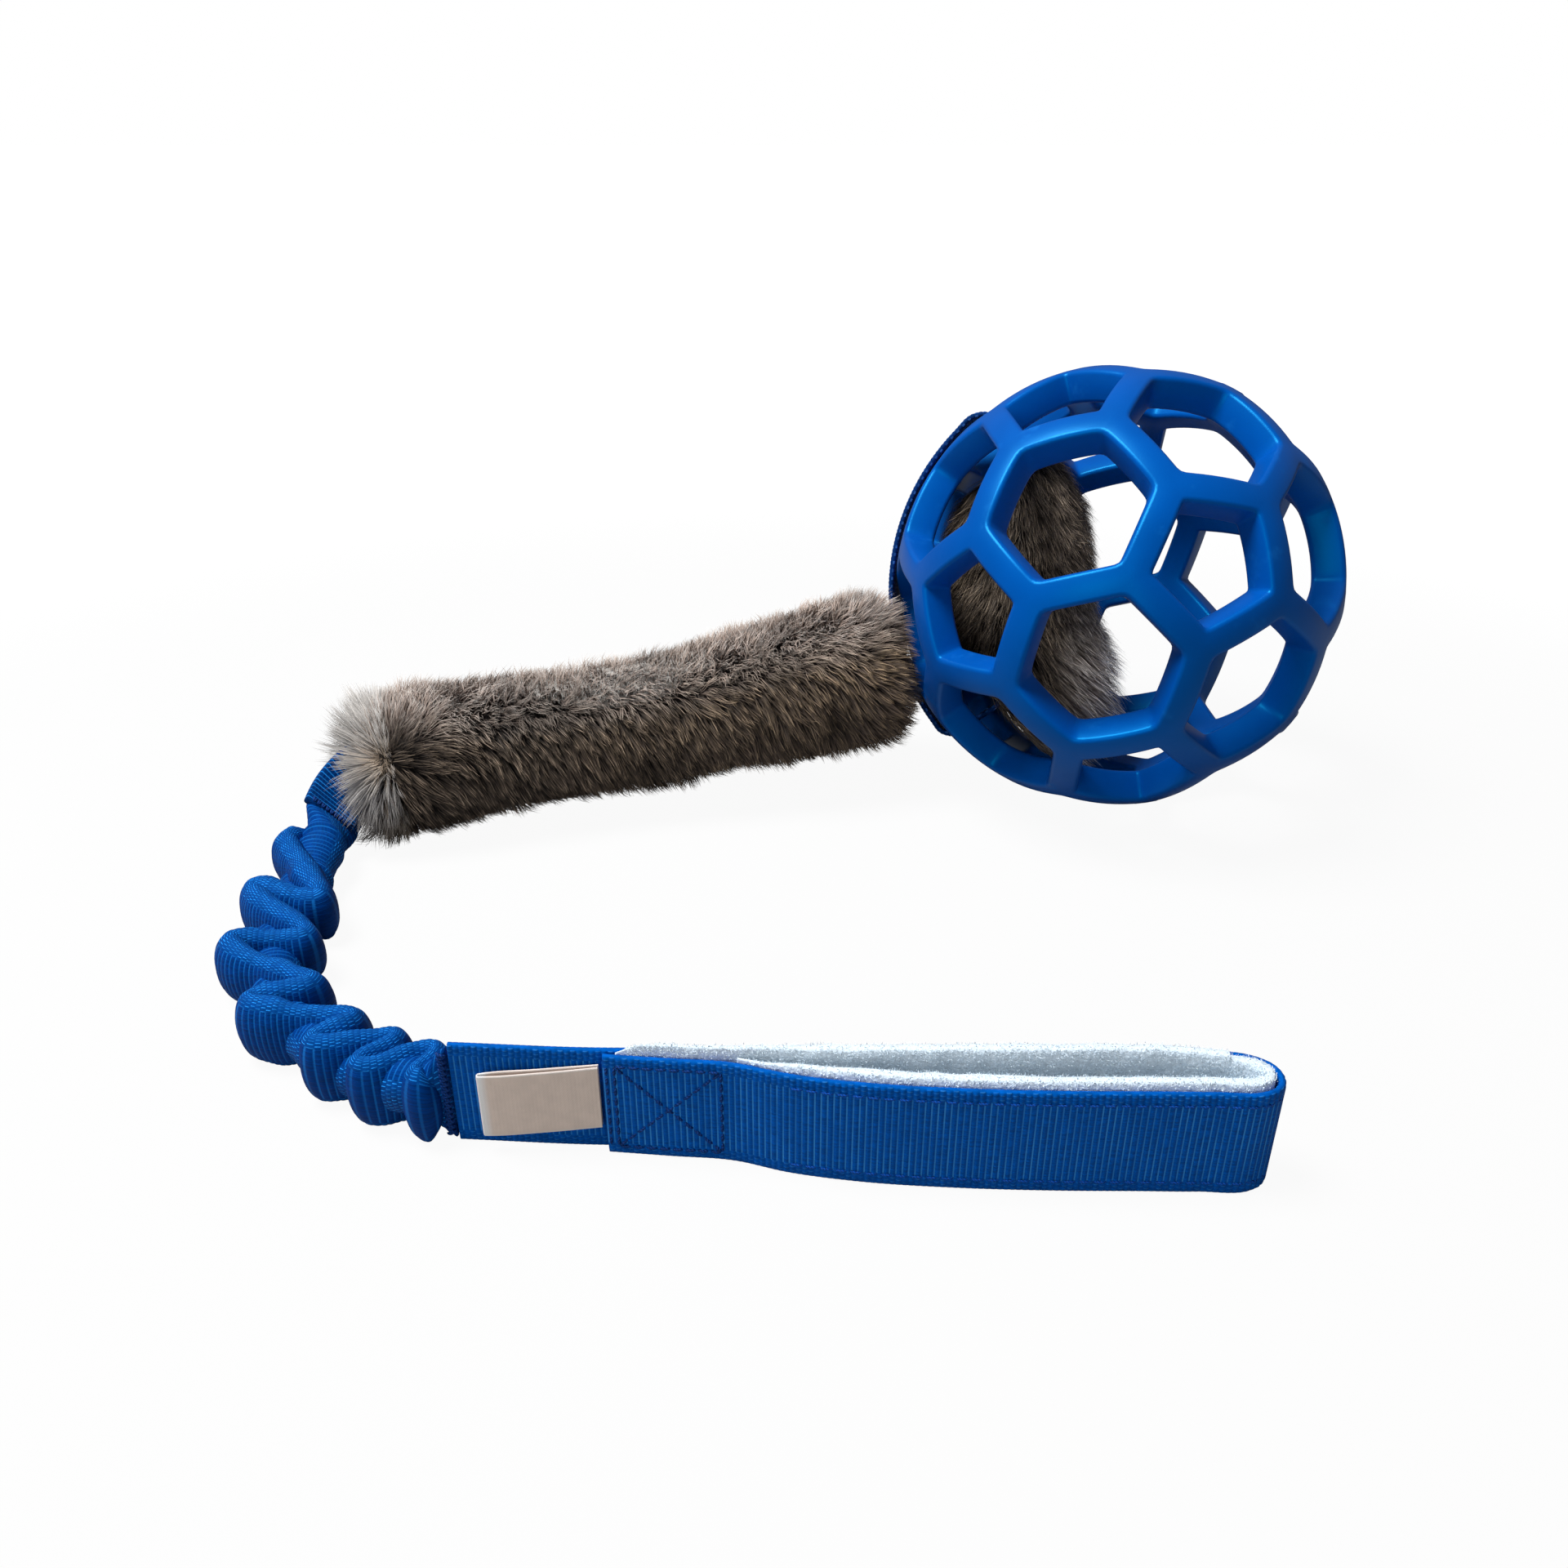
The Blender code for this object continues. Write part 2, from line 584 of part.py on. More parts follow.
def build_bungee(body, route, neck_height):
    """The neck webbing, the elastic core, the ruched sleeve over it, and the tack at their upper ends."""
    neck = stretch(route, 0.0, NECK_LENGTH, 9)
    slope = (neck_height - RUFFLE_RADIUS) / NECK_LENGTH
    strap = plate(
        "neck_webbing",
        [strip_outline(neck, NECK_THICKNESS / 2, -NECK_THICKNESS / 2)],
        NECK_WIDTH,
        "ruched_webbing",
        body,
        Matrix.Translation((0, 0, neck_height)),
    )
    strap = meshed(strap)
    start = neck[0]
    for vert in strap.data.vertices:
        vert.co.z -= slope * min((vert.co - Vector((start.x, start.y, vert.co.z))).length, NECK_LENGTH)

    first = NECK_LENGTH + SEAT_GAP * 3
    last = length_of(route) - TACK_RADIUS - SEAT_GAP * 2
    core = at_height(stretch(route, first, last, 30), [RUFFLE_RADIUS] * 30)
    tube("bungee_core", core, CORE_RADIUS, "elastic", body, sides=2)

    count = RUFFLES * POINTS_PER_RUFFLE + 1
    flat = stretch(route, first, last, count)
    sway = [RUFFLE_SWAY * sin(pi * i / POINTS_PER_RUFFLE) for i in range(count)]
    waves = []
    for i in range(count):
        part = (len(ruffle_size_shares) - 1) * (1 - i / (count - 1))
        low = min(int(part), len(ruffle_size_shares) - 2)
        size = ruffle_size_shares[low] * (low + 1 - part) + ruffle_size_shares[low + 1] * (part - low)
        dip = RUFFLE_DEPTH / RUFFLE_RADIUS * (0.5 + 0.5 * cos(2 * pi * i / POINTS_PER_RUFFLE))
        waves.append(size - dip)
    points = at_height(offset(flat, sway), [RUFFLE_RADIUS] * count)
    ruched = tube("bungee_sleeve", points, RUFFLE_RADIUS, "ruched_webbing", body, shares=waves, sides=4)
    sleeve = meshed(ruched)
    over = at_height(stretch(route, first - CUT_OVERRUN, last + CUT_OVERRUN / 3, 34), [RUFFLE_RADIUS] * 34)
    bore = tube("bungee_bore", over, CORE_RADIUS + SEAT_GAP, "elastic", body, sides=2)
    cut(sleeve, as_cutter(meshed(bore)))

    tack_at = stretch(route, NECK_LENGTH * 0.78, NECK_LENGTH * 0.9, 2)
    way = (tack_at[1] - tack_at[0]).normalized()
    side = Vector((-way.y, way.x, 0))
    height = neck_height - slope * NECK_LENGTH * 0.78
    tack = frame(
        Vector((tack_at[0].x, tack_at[0].y, height)) - side * (NECK_THICKNESS / 2 + SEAT_GAP + THREAD / 2),
        Vector((0, 0, 1)),
        way,
    )
    tube("neck_bartack", zigzag(NECK_WIDTH * 0.8, THREAD, 10), THREAD / 2, "thread", body, tack, sides=0)


def build_tail(body, tail, way):
    """The bar tack through the elastic, its sleeve and the strap. The strap folds about it."""
    reach = TACK_RADIUS - THREAD / 2
    place = frame(Vector((tail.x, tail.y, WEBBING_HEIGHT / 2)), Vector((0, 0, 1)), way)
    tube("tail_bartack", zigzag(WEBBING_HEIGHT * 0.84, reach, 16), THREAD / 2, "thread", body, place, sides=1)


def strap_route(tail):
    """The middle line of the hand strap: label strap, far side, round end, near side and overlap."""
    half = OVERLAP_LENGTH / 2
    near_left = -(WEBBING_THICKNESS + SEAT_GAP)
    near_right = -(WEBBING_THICKNESS + LINING_THICKNESS + SEAT_GAP * 3)
    far = [Vector((tail.x, tail.y, 0)), Vector((-half, 0, 0)), Vector((0, 0, 0)), Vector((half, 0, 0))]
    sides = [
        [Vector((x * HAND_LOOP_REACH, y * HAND_LOOP_WIDTH, 0)) for x, y in shares]
        for shares in (far_side_shares, near_side_shares)
    ]
    turn = Vector((HAND_LOOP_REACH - HAND_LOOP_FOLD, HAND_LOOP_FOLD - HAND_LOOP_WIDTH, 0))
    loop = sides[0] + [turn + polar(HAND_LOOP_FOLD, angle) for angle in fold_degrees] + sides[1]
    near = [
        Vector((half, near_right, 0)),
        Vector((0, (near_left + near_right) / 2, 0)),
        Vector((-half, near_left, 0)),
    ]
    return smooth(far + loop + near, 4)


def build_handle(body, tail):
    """The hand strap, its fleece lining, the boxed cross of stitches and the rows along the lining."""
    route = strap_route(tail)
    half = WEBBING_THICKNESS / 2
    middle = Matrix.Translation((0, 0, WEBBING_HEIGHT / 2))
    past_tack = route[0] + (route[1] - route[0]).normalized() * (TACK_RADIUS + SEAT_GAP)
    outline = strip_outline([past_tack, *route[1:]], half, -half)
    plate("handle_webbing", [outline], WEBBING_HEIGHT, "webbing", body, middle)

    overlap = OVERLAP_LENGTH / 2
    start = first_index(route, lambda p: p.x >= overlap * (2 * LINING_START_SHARE - 1))
    grown = first_index(route, lambda p: p.x >= overlap)
    finish = len(route) - first_index(route[::-1], lambda p: p.x >= LINING_END_REACH)
    lining = route[start:finish]
    swell, total = length_of(route[start : grown + 1]), length_of(lining)
    inner = -(half + SEAT_GAP)
    depth = []
    for i in range(len(lining)):
        gone = length_of(lining[: i + 1])
        full = min(1.0, gone / swell, (total - gone) / overlap)
        depth.append(inner - LINING_THICKNESS * (LINING_EDGE_SHARE + (1 - LINING_EDGE_SHARE) * full))
    lining_height = WEBBING_HEIGHT - LINING_TRIM
    lining_place = Matrix.Translation((0, 0, LINING_TRIM + lining_height / 2))
    outline = strip_outline(lining, [inner] * len(lining), depth)
    plate("handle_lining", [outline], lining_height, "fleece", body, lining_place)

    edge = half + SEAT_GAP
    row = strip_outline(route[grown + 1 : finish], edge + THREAD / 2, edge)
    for name, height in (("lower", EDGE_STITCH_INSET), ("upper", WEBBING_HEIGHT - EDGE_STITCH_INSET)):
        plate(f"lining_stitch_{name}", [row], STITCH_LINE, "thread", body, Matrix.Translation((0, 0, height)))

    near = route[-9:]
    way = (near[-1] - near[0]).normalized()
    out = Vector((way.y, -way.x, 0))
    if out.y > 0:
        out = -out
    centre = (near[0] + near[-1]) / 2 + out * (half + SEAT_GAP + THREAD / 4)
    box_place = frame(Vector((centre.x, centre.y, WEBBING_HEIGHT / 2)), -way, Vector((0, 0, 1)))
    plate("box_stitch", box_outlines(), THREAD / 2, "thread", body, box_place)


def box_outlines():
    """A stitched box with a cross in it: the outer edge, and the four openings between the lines."""
    x, y, line = BOX_STITCH_LENGTH / 2, BOX_STITCH_HEIGHT / 2, STITCH_LINE
    slant = line * (x * x + y * y) ** 0.5 / 2
    outlines = [[Vector((-x, -y, 0)), Vector((x, -y, 0)), Vector((x, y, 0)), Vector((-x, y, 0))]]
    inner_x, inner_y = x - line, y - line
    gap_x = slant / y
    gap_y = slant / x
    for sign in (1, -1):
        tip = Vector((0, sign * gap_y, 0))
        reach = inner_y * x / y - gap_x
        outlines.append([tip, Vector((reach, sign * inner_y, 0)), Vector((-reach, sign * inner_y, 0))])
        side = Vector((sign * gap_x, 0, 0))
        rise = inner_x * y / x - gap_y
        outlines.append([side, Vector((sign * inner_x, rise, 0)), Vector((sign * inner_x, -rise, 0))])
    return outlines


def build_label(body, pivot):
    """One leaf of tape folded double, both ends caught at the overlap."""
    gap = (LABEL_OPENING + LABEL_LEAF) / 2
    fold = [Vector((-gap * sin(radians(a)), gap * cos(radians(a)), 0)) for a in range(0, 181, 30)]
    bend = Vector((-(LABEL_LENGTH - gap - LABEL_LEAF / 2), 0, 0))
    route = [Vector((0, gap, 0)), *[bend + p for p in fold], Vector((0, -gap, 0))]
    half = LABEL_LEAF / 2
    place = Matrix.Translation((pivot.x, pivot.y, LABEL_LIFT + LABEL_HEIGHT / 2))
    plate("folded_label", [strip_outline(route, half, -half)], LABEL_HEIGHT, "label", body, place)


def tug_pitch(mouth_height, span):
    """How far the tug rises towards the ball when its neck end lies on the floor."""
    pitch = 0.0
    for _ in range(12):
        pitch = asin((mouth_height - SLEEVE_RADIUS * cos(pitch)) / span)
    return pitch


clear_scene()
parts = new_collection(NAME)
cutters = new_collection(NAME + "_cutters", hidden=True)

# The chain of places, from the hand strap to the ball
tail = Vector((-(OVERLAP_LENGTH / 2 + LABEL_STRAP_LENGTH + TACK_RADIUS), STRAP_KICK, 0))
heading = radians(BUNGEE_HEADING_DEGREES)
neck = tail + Vector((cos(heading), sin(heading), 0)) * BUNGEE_CHORD
ball_turn = turned(BALL_TURN_DEGREES)
loop_turn = turned(LOOP_TURN_DEGREES)
ball_mesh = lattice_mesh()
ball_height = -min((ball_turn @ vert.co).z for vert in ball_mesh.vertices)
mouth_arm = loop_turn @ polar(loop_route()[1], MOUTH_DEGREES)
mouth_height = ball_height + mouth_arm.z
pitch = tug_pitch(mouth_height, TUG_LENGTH)
tug_heading = radians(TUG_HEADING_DEGREES)
axis = Vector((cos(tug_heading) * cos(pitch), sin(tug_heading) * cos(pitch), sin(pitch)))
tug_end = Vector((neck.x, neck.y, 0)) + Vector((axis.x, axis.y, 0)) * NECK_STANDOFF
tug_end.z = mouth_height - axis.z * TUG_LENGTH
mouth = tug_end + axis * TUG_LENGTH
neck_pivot = tug_end - axis * NECK_STANDOFF
ball_centre = mouth - mouth_arm
loop_axis = (loop_turn @ Vector((0, 0, 1))).normalized()

tug_body = add_pivot("tug_root", tug_end)
loop_body = add_pivot("loop_swing", mouth)
ball_body = add_pivot("ball_roll", ball_centre)
bungee_body = add_pivot("neck_fold", neck_pivot)
tail_body = add_pivot("bungee_stretch", tail)
handle_body = add_pivot("grip_fold", tail)
label_depth = WEBBING_THICKNESS / 2 + SEAT_GAP * 2 + LABEL_LEAF + LABEL_OPENING / 2
label_pivot = Vector((-(OVERLAP_LENGTH / 2 + THREAD), -label_depth, 0))
label_body = add_pivot("label_flap", label_pivot)

build_ball(ball_body, ball_turn, ball_mesh)
build_ball_loop(loop_body, loop_turn, ball_centre)
up_across = (Vector((0, 0, 1)) - axis * axis.z).normalized()
tug_turn = Matrix((up_across, axis.cross(up_across), axis)).transposed().to_4x4()
tug_place = Matrix.Translation(tug_end) @ tug_turn
build_tug(tug_body, tug_place, TUG_LENGTH - SLEEVE_SETBACK, loop_axis)
route = bungee_route(tail, heading)
build_bungee(bungee_body, route, neck_pivot.z)
end_way = (strap_route(tail)[2] - strap_route(tail)[0]).normalized()
build_tail(tail_body, tail, end_way)
build_handle(handle_body, tail)
build_label(label_body, label_pivot)

for name, place, way in (
    ("loop_swing", mouth, loop_axis),
    ("ball_roll", ball_centre, loop_axis),
    ("neck_fold", neck_pivot, Vector((0, 0, 1))),
    ("bungee_stretch", tail, end_way),
    ("grip_fold", tail, Vector((0, 0, 1))),
    ("label_flap", label_pivot, Vector((0, 0, 1))),
):
    print(name, "at", [round(c, 5) for c in place], "axis", [round(c, 5) for c in way])
print("elastic section", round(length_of(route) - NECK_LENGTH, 4), "m along its route")
print("tug pitch", round(degrees(pitch), 2), "degrees")
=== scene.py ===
"""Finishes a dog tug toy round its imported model: a rubber lattice ball on a webbing loop, a fur tug, a ruched
elastic section and a fleece-lined hand loop with a folded label. Lengths are in metres."""

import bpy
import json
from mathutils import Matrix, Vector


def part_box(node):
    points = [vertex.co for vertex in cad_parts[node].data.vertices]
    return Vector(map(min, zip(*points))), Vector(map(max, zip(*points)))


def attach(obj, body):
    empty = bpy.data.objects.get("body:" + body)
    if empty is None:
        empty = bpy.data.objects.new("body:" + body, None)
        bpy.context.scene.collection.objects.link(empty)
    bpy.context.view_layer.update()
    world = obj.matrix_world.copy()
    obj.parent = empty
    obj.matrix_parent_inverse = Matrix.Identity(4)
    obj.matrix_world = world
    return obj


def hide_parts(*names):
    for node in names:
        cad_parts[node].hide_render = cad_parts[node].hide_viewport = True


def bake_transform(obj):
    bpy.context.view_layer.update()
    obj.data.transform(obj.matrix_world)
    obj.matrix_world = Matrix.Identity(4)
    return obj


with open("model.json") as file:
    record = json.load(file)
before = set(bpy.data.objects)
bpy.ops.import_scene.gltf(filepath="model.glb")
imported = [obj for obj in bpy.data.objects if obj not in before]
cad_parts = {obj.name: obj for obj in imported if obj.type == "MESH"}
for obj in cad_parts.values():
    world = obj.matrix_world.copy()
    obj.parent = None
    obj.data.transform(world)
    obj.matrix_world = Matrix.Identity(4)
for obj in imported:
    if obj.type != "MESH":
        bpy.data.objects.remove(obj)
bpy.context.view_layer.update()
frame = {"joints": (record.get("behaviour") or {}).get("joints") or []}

import json
from math import atan2, cos, degrees, pi, radians, sin, tau

import bmesh
import bpy
import numpy as np
from bpy.props import FloatProperty, FloatVectorProperty, IntProperty, PointerProperty
from mathutils import Euler, Matrix, Vector
from mathutils.kdtree import KDTree

bl_info = {
    "name": "Dog Tug Toy",
    "version": (1, 0, 0),
    "blender": (4, 5, 0),
    "location": "View3D > Sidebar > Tug Toy",
    "description": "A lattice ball, a fur tug, a ruched elastic section and a lined hand loop",
    "category": "Add Mesh",
}

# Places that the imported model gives
joints = {joint["name"]: joint for joint in frame["joints"]}
neck = Vector(joints["neck_fold"]["pos_m"])
mouth = Vector(joints["loop_swing"]["pos_m"])
ball_centre = Vector(joints["ball_roll"]["pos_m"])
tail = Vector(joints["grip_fold"]["pos_m"])
strap_heading = Vector(joints["bungee_stretch"]["axis"])
tug_axis = (mouth - neck).normalized()
strap_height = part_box("handle_webbing")[1].z

# Clearances and thread
SEAT_GAP = 0.0003
FLOOR_GAP = 0.0004
THREAD = 0.0008

# Webbings: the loop's ribs, the yarns across every webbing, and how bright the dots along a plain edge are; a
# hem share above it also paints a highlight on the edge zone, which on the ruched folds is their tops
LOOP_RIB = 0.0012
LOOP_RIB_DEPTH = 0.00016
SMOOTH_RIB_DEPTH = 0.0002
YARN_PITCH = 0.00105
plain_hem_share = 0.32

# The hand strap's overlap, where the lining is full again past it, and the sewn box on it
OVERLAP_LENGTH = 0.026
LINING_END_REACH = 0.024
BOX_REACH = 0.0106
BOX_HEIGHT = 0.01025
BOX_STITCH = 0.0026
EDGE_STITCH = 0.0030
EDGE_STITCH_INSET = 0.0028

# The tug's inside and its seams
STUFFING_RADIUS = 0.0135
TUG_STRAP_THICKNESS = 0.0032
NECK_GATHER_RADIUS = 0.0171
MOUTH_GATHER_RADIUS = 0.0120
GATHER_STANDOFF = 0.0007
SEAM_RADIUS = 0.0186
SEAM_TURN_DEGREES = 160

# The camera's place, which the photograph's view was fitted to, and the point that the lamps look at
CAMERA_PLACE = (0.0230, -0.2046, 0.1921)
LIT_POINT = (0.03, 0.10, 0.03)

# Turns of the ball and of its loop about X, Y and Z
BALL_TURN_DEGREES = (6.13, -21.16, 2.90)
LOOP_TURN_DEGREES = (71.1, -4.66, -13.34)

# The loop's route in its own plane: radii as shares of the ball's, with degrees past its entry or its exit
MOUTH_DEGREES = 197.9
LOOP_IN_DEGREES = 129.5
LOOP_OUT_DEGREES = 221.0
loop_entry_shares = ((0.992, -3.0), (0.945, -4.6), (0.85, -4.8), (0.72, -3.0))
loop_inside_shares = ((0.57, 5.0), (0.45, 22.0), (0.39, 48.0), (0.42, 73.0))
loop_exit_shares = ((0.55, 4.0), (0.72, 6.0), (0.85, 4.6), (0.945, 3.8), (0.992, 2.6))
roll_radius_shares = (0.74, 0.90, 0.98, 1.00, 1.06, 1.10, 1.02)

# The tug's hide: how far along the tug and how far out, as shares of its length and radius
hide_shares = (
    (-0.024, 0.14), (-0.024, 0.36), (-0.018, 0.56), (0.0, 0.70), (0.04, 0.78), (0.12, 0.79),
    (0.22, 0.73), (0.42, 0.70), (0.58, 0.73), (0.74, 0.80), (0.88, 0.86), (0.96, 0.86),
    (1.006, 0.80), (1.016, 0.70), (1.004, 0.50), (1.004, 0.2),
)

# From neck to mouth: how far the fur hangs below the tug's middle line and slumps to the viewer, in radii
sag_shares = (0.11, 0.13, 0.19, 0.25, 0.19, 0.13, 0.09)
slump_shares = (0.17, 0.12, 0.08, 0.07, 0.07, 0.06, 0.05)

# The elastic section's route, as shares of its chord along and aside, from the strap to the neck
bungee_route_shares = (
    (0.0, 0.0), (0.058, 0.056), (0.140, 0.117), (0.221, 0.168), (0.326, 0.213),
    (0.465, 0.217), (0.612, 0.188), (0.785, 0.128), (0.930, 0.064), (1.0, 0.0),
)

# Where each fold of the ruched webbing turns back: how far along the route, and how far to its left, in radii
fold_shares = (
    (0.150, 0.0), (0.209, -0.70), (0.395, 0.68), (0.375, -0.74), (0.508, 0.64),
    (0.518, -0.72), (0.667, 0.54), (0.664, -0.58), (0.798, 0.42), (0.800, -0.46),
    (0.878, 0.44), (0.888, -0.44), (0.952, 0.44), (0.968, -0.27), (0.992, 0.04),
)

# The hand loop's far side, its round end and its near side
far_side_shares = ((0.25, 0.04), (0.40, 0.06), (0.55, 0.06), (0.70, 0.06), (0.83, 0.03), (0.905, -0.05))
near_side_shares = ((0.88, -1.01), (0.78, -1.0), (0.65, -0.99), (0.48, -0.93), (0.32, -0.80), (0.20, -0.60))
fold_degrees = (60, 38, 16, -6, -28, -50, -72)


def size(name, note, default, **limits):
    return FloatProperty(name=name, description=note, default=default, unit="LENGTH", precision=4, **limits)


def count_of(name, note, default, least=10):
    return IntProperty(name=name, description=note, default=default, min=least)


def number(name, note, default, **limits):
    return FloatProperty(name=name, description=note, default=default, **limits)


def colour(name, note, default):
    return FloatVectorProperty(name=name, description=note, default=default, min=0, max=1, subtype="COLOR")


class BallSettings(bpy.types.PropertyGroup):
    radius: size("Radius", "Outer radius of the ball", 0.0635)
    wall: size("Wall", "Depth of a strut", 0.009)
    strut: size("Strut width", "Width of a strut across its outer face", 0.0085)
    rim: size("Rim", "Rounding of a window's edge", 0.0013)
    rounding: count_of("Rounding", "How many times a window's corners are eased", 3, 0)
    rubber: colour("Rubber", "Colour of the rubber", (0.0, 0.084, 0.42))
    scuff: colour("Scuff", "Colour where the rubber is rubbed", (0.01, 0.17, 0.60))


class LoopSettings(bpy.types.PropertyGroup):
    width: size("Width", "Width of the loop's webbing", 0.017)
    thickness: size("Thickness", "Thickness of the loop's webbing", 0.0016)
    shift: size("Shift", "How far the loop lies aside of the ball's middle", -0.0035)
    play: size("Play", "Room between the ball and the loop", 0.0006)
    nose: size("Nose", "How far the loop's ends reach towards the tug", 0.0022)
    roll: size("Roll radius", "Radius of the fur roll inside the ball", 0.0195)
    roll_hairs: count_of("Roll hairs", "Number of hairs on the fur roll", 32000)
    webbing: colour("Webbing", "Colour of the loop's webbing", (0.003, 0.020, 0.12))
    speck: colour("Speck", "Colour of its light yarns", (0.05, 0.16, 0.50))


class FurSettings(bpy.types.PropertyGroup):
    radius: size("Radius", "Radius of the tug with its fur", 0.0222)
    setback: size("Setback", "Room between the fur sleeve and the loop", 0.0040)
    standoff: size("Standoff", "Room between the neck's hinge and the sleeve", 0.0060)
    hair: size("Hair", "Length of a hair", 0.0086)
    hair_width: size("Hair width", "Width of a hair at its root", 0.00032)
    coat: count_of("Coat", "Number of long hairs on the tug", 38000)
    down: count_of("Down", "Number of short hairs on the tug", 42000)
    tuft: count_of("Tuft", "Number of hairs in the tuft at the neck end", 9000)
    tuft_hair: size("Tuft hair", "Length of a hair of the tuft", 0.0185)
    whorl_reach: size("Whorl reach", "How far the whorl lies from the neck end", 0.0004)
    whorl_degrees: number("Whorl turn", "Where the whorl lies round the tug, in degrees", 58.0)
    hide: colour("Hide", "Colour of the hide", (0.018, 0.013, 0.011))
    root: colour("Root", "Colour of the hairs at their roots", (0.011, 0.008, 0.007))
    middle: colour("Middle", "Colour of the hairs at their middle", (0.050, 0.037, 0.030))
    tip: colour("Tip", "Colour of the hairs at their tips", (0.31, 0.24, 0.17))
    pale: colour("Pale", "Colour of the pale grey hairs", (0.40, 0.38, 0.36))
    heart: colour("Heart", "Colour of the whorl's centre", (0.52, 0.40, 0.29))


class ElasticSettings(bpy.types.PropertyGroup):
    chord: size("Chord", "From the strap to the neck in a straight line", 0.1447)
    neck_length: size("Neck length", "Length of the flat neck webbing", 0.029)
    neck_width: size("Neck width", "Width of the flat neck webbing", 0.016)
    neck_thickness: size("Neck thickness", "Thickness of the flat neck webbing", 0.0024)
    radius: size("Radius", "Radius of the ruched webbing", 0.0119)
    fold: size("Fold", "Half the thickness that a fold would have before it is drawn flatter", 0.0062)
    lean: number("Neck lean", "How far the neck webbing leans over, in degrees", 46)
    core: size("Core", "Radius of the elastic inside", 0.0047)
    webbing: colour("Webbing", "Colour of the ruched webbing", (0.0, 0.036, 0.22))
    speck: colour("Speck", "Colour of its bright yarns", (0.02, 0.33, 1.0))


class StrapSettings(bpy.types.PropertyGroup):
    thickness: size("Thickness", "Thickness of the strap's webbing", 0.0016)
    reach: size("Reach", "From the overlap's middle to the round end", 0.119)
    width: size("Width", "Width of the hand loop", 0.0129)
    fold: size("Fold", "Radius of the round end", 0.0052)
    lining: size("Lining", "Thickness of the fleece where it is sewn", 0.0020)
    pile: size("Pile", "How far the fleece swells beyond that", 0.0013)
    rib: size("Rib", "Distance from rib to rib", 0.00125)
    rib_depth: size("Rib depth", "Depth of the grooves between the ribs", 0.00034)
    webbing: colour("Webbing", "Colour of the strap", (0.0, 0.094, 0.46))
    line: colour("Line", "Colour of the light line between two ribs", (0.06, 0.34, 0.80))
    seam: colour("Seam", "Colour of the stitches", (0.0, 0.044, 0.24))
    fleece: colour("Fleece", "Colour of the lining", (0.78, 0.90, 1.0))


class LabelSettings(bpy.types.PropertyGroup):
    length: size("Length", "Length of a leaf", 0.0245)
    height: size("Height", "Height of the label", 0.0155)
    leaf: size("Leaf", "Thickness of the tape", 0.0004)
    opening: size("Opening", "Room between the two leaves", 0.0005)
    lift: size("Lift", "Height of its lower edge over the floor", 0.0062)
    droop: number("Droop", "How far its fold hangs lower, in degrees", 5.5)
    tape: colour("Tape", "Colour of the tape", (0.80, 0.655, 0.56))
    edge: colour("Edge", "Colour at its fold and its edges", (0.86, 0.86, 0.86))


class StageSettings(bpy.types.PropertyGroup):
    lens: number("Lens", "Focal length in millimetres", 30.0, min=1)
    down: number("Down", "How far the camera looks down, in degrees", 27.8)
    floor: colour("Floor", "Colour of the floor", (0.26, 0.26, 0.26))
    key: number("Key", "Power of the key lamp in watts", 18.0, min=0)
    fill: number("Fill", "Power of the fill lamp in watts", 2.6, min=0)
    sky: number("Sky", "Strength of the even light", 0.12, min=0)


class ToySettings(bpy.types.PropertyGroup):
    ball: PointerProperty(type=BallSettings)
    loop: PointerProperty(type=LoopSettings)
    fur: PointerProperty(type=FurSettings)
    elastic: PointerProperty(type=ElasticSettings)
    strap: PointerProperty(type=StrapSettings)
    label: PointerProperty(type=LabelSettings)
    stage: PointerProperty(type=StageSettings)


class Signal:
    """One output of a shader node, which takes part in sums as a number, a vector or a colour."""

    def __init__(self, finish, socket):
        self.finish = finish
        self.socket = socket

    def sum(self, operation, *values):
        many = any(
            not isinstance(v, (int, float)) and (isinstance(v, tuple) or v.socket.type in ("VECTOR", "RGBA"))
            for v in values
        )
        kind = "ShaderNodeVectorMath" if many else "ShaderNodeMath"
        if many:
            values = [(v, v, v) if isinstance(v, (int, float)) else v for v in values]
        return self.finish.node(kind, {"operation": operation}, dict(enumerate(values)))

    def __add__(self, other):
        return self.sum("ADD", self, other)

    __radd__ = __add__

    def __sub__(self, other):
        return self.sum("SUBTRACT", self, other)

    def __rsub__(self, other):
        return self.sum("SUBTRACT", other, self)

    def __mul__(self, other):
        return self.sum("MULTIPLY", self, other)

    __rmul__ = __mul__

    def __truediv__(self, other):
        return self.sum("DIVIDE", self, other)

    def __pow__(self, other):
        return self.sum("POWER", self, other)

    def __abs__(self):
        return self.sum("ABSOLUTE", self)

    def fraction(self):
        return self.sum("FRACT", self)

    def wave(self):
        return self.sum("SINE", self)

    def between(self, low, high):
        """0 below low, 1 above high, and a smooth rise between them."""
        inputs = {"Value": self, "From Min": low, "From Max": high}
        return self.finish.node("ShaderNodeMapRange", {"interpolation_type": "SMOOTHSTEP"}, inputs)


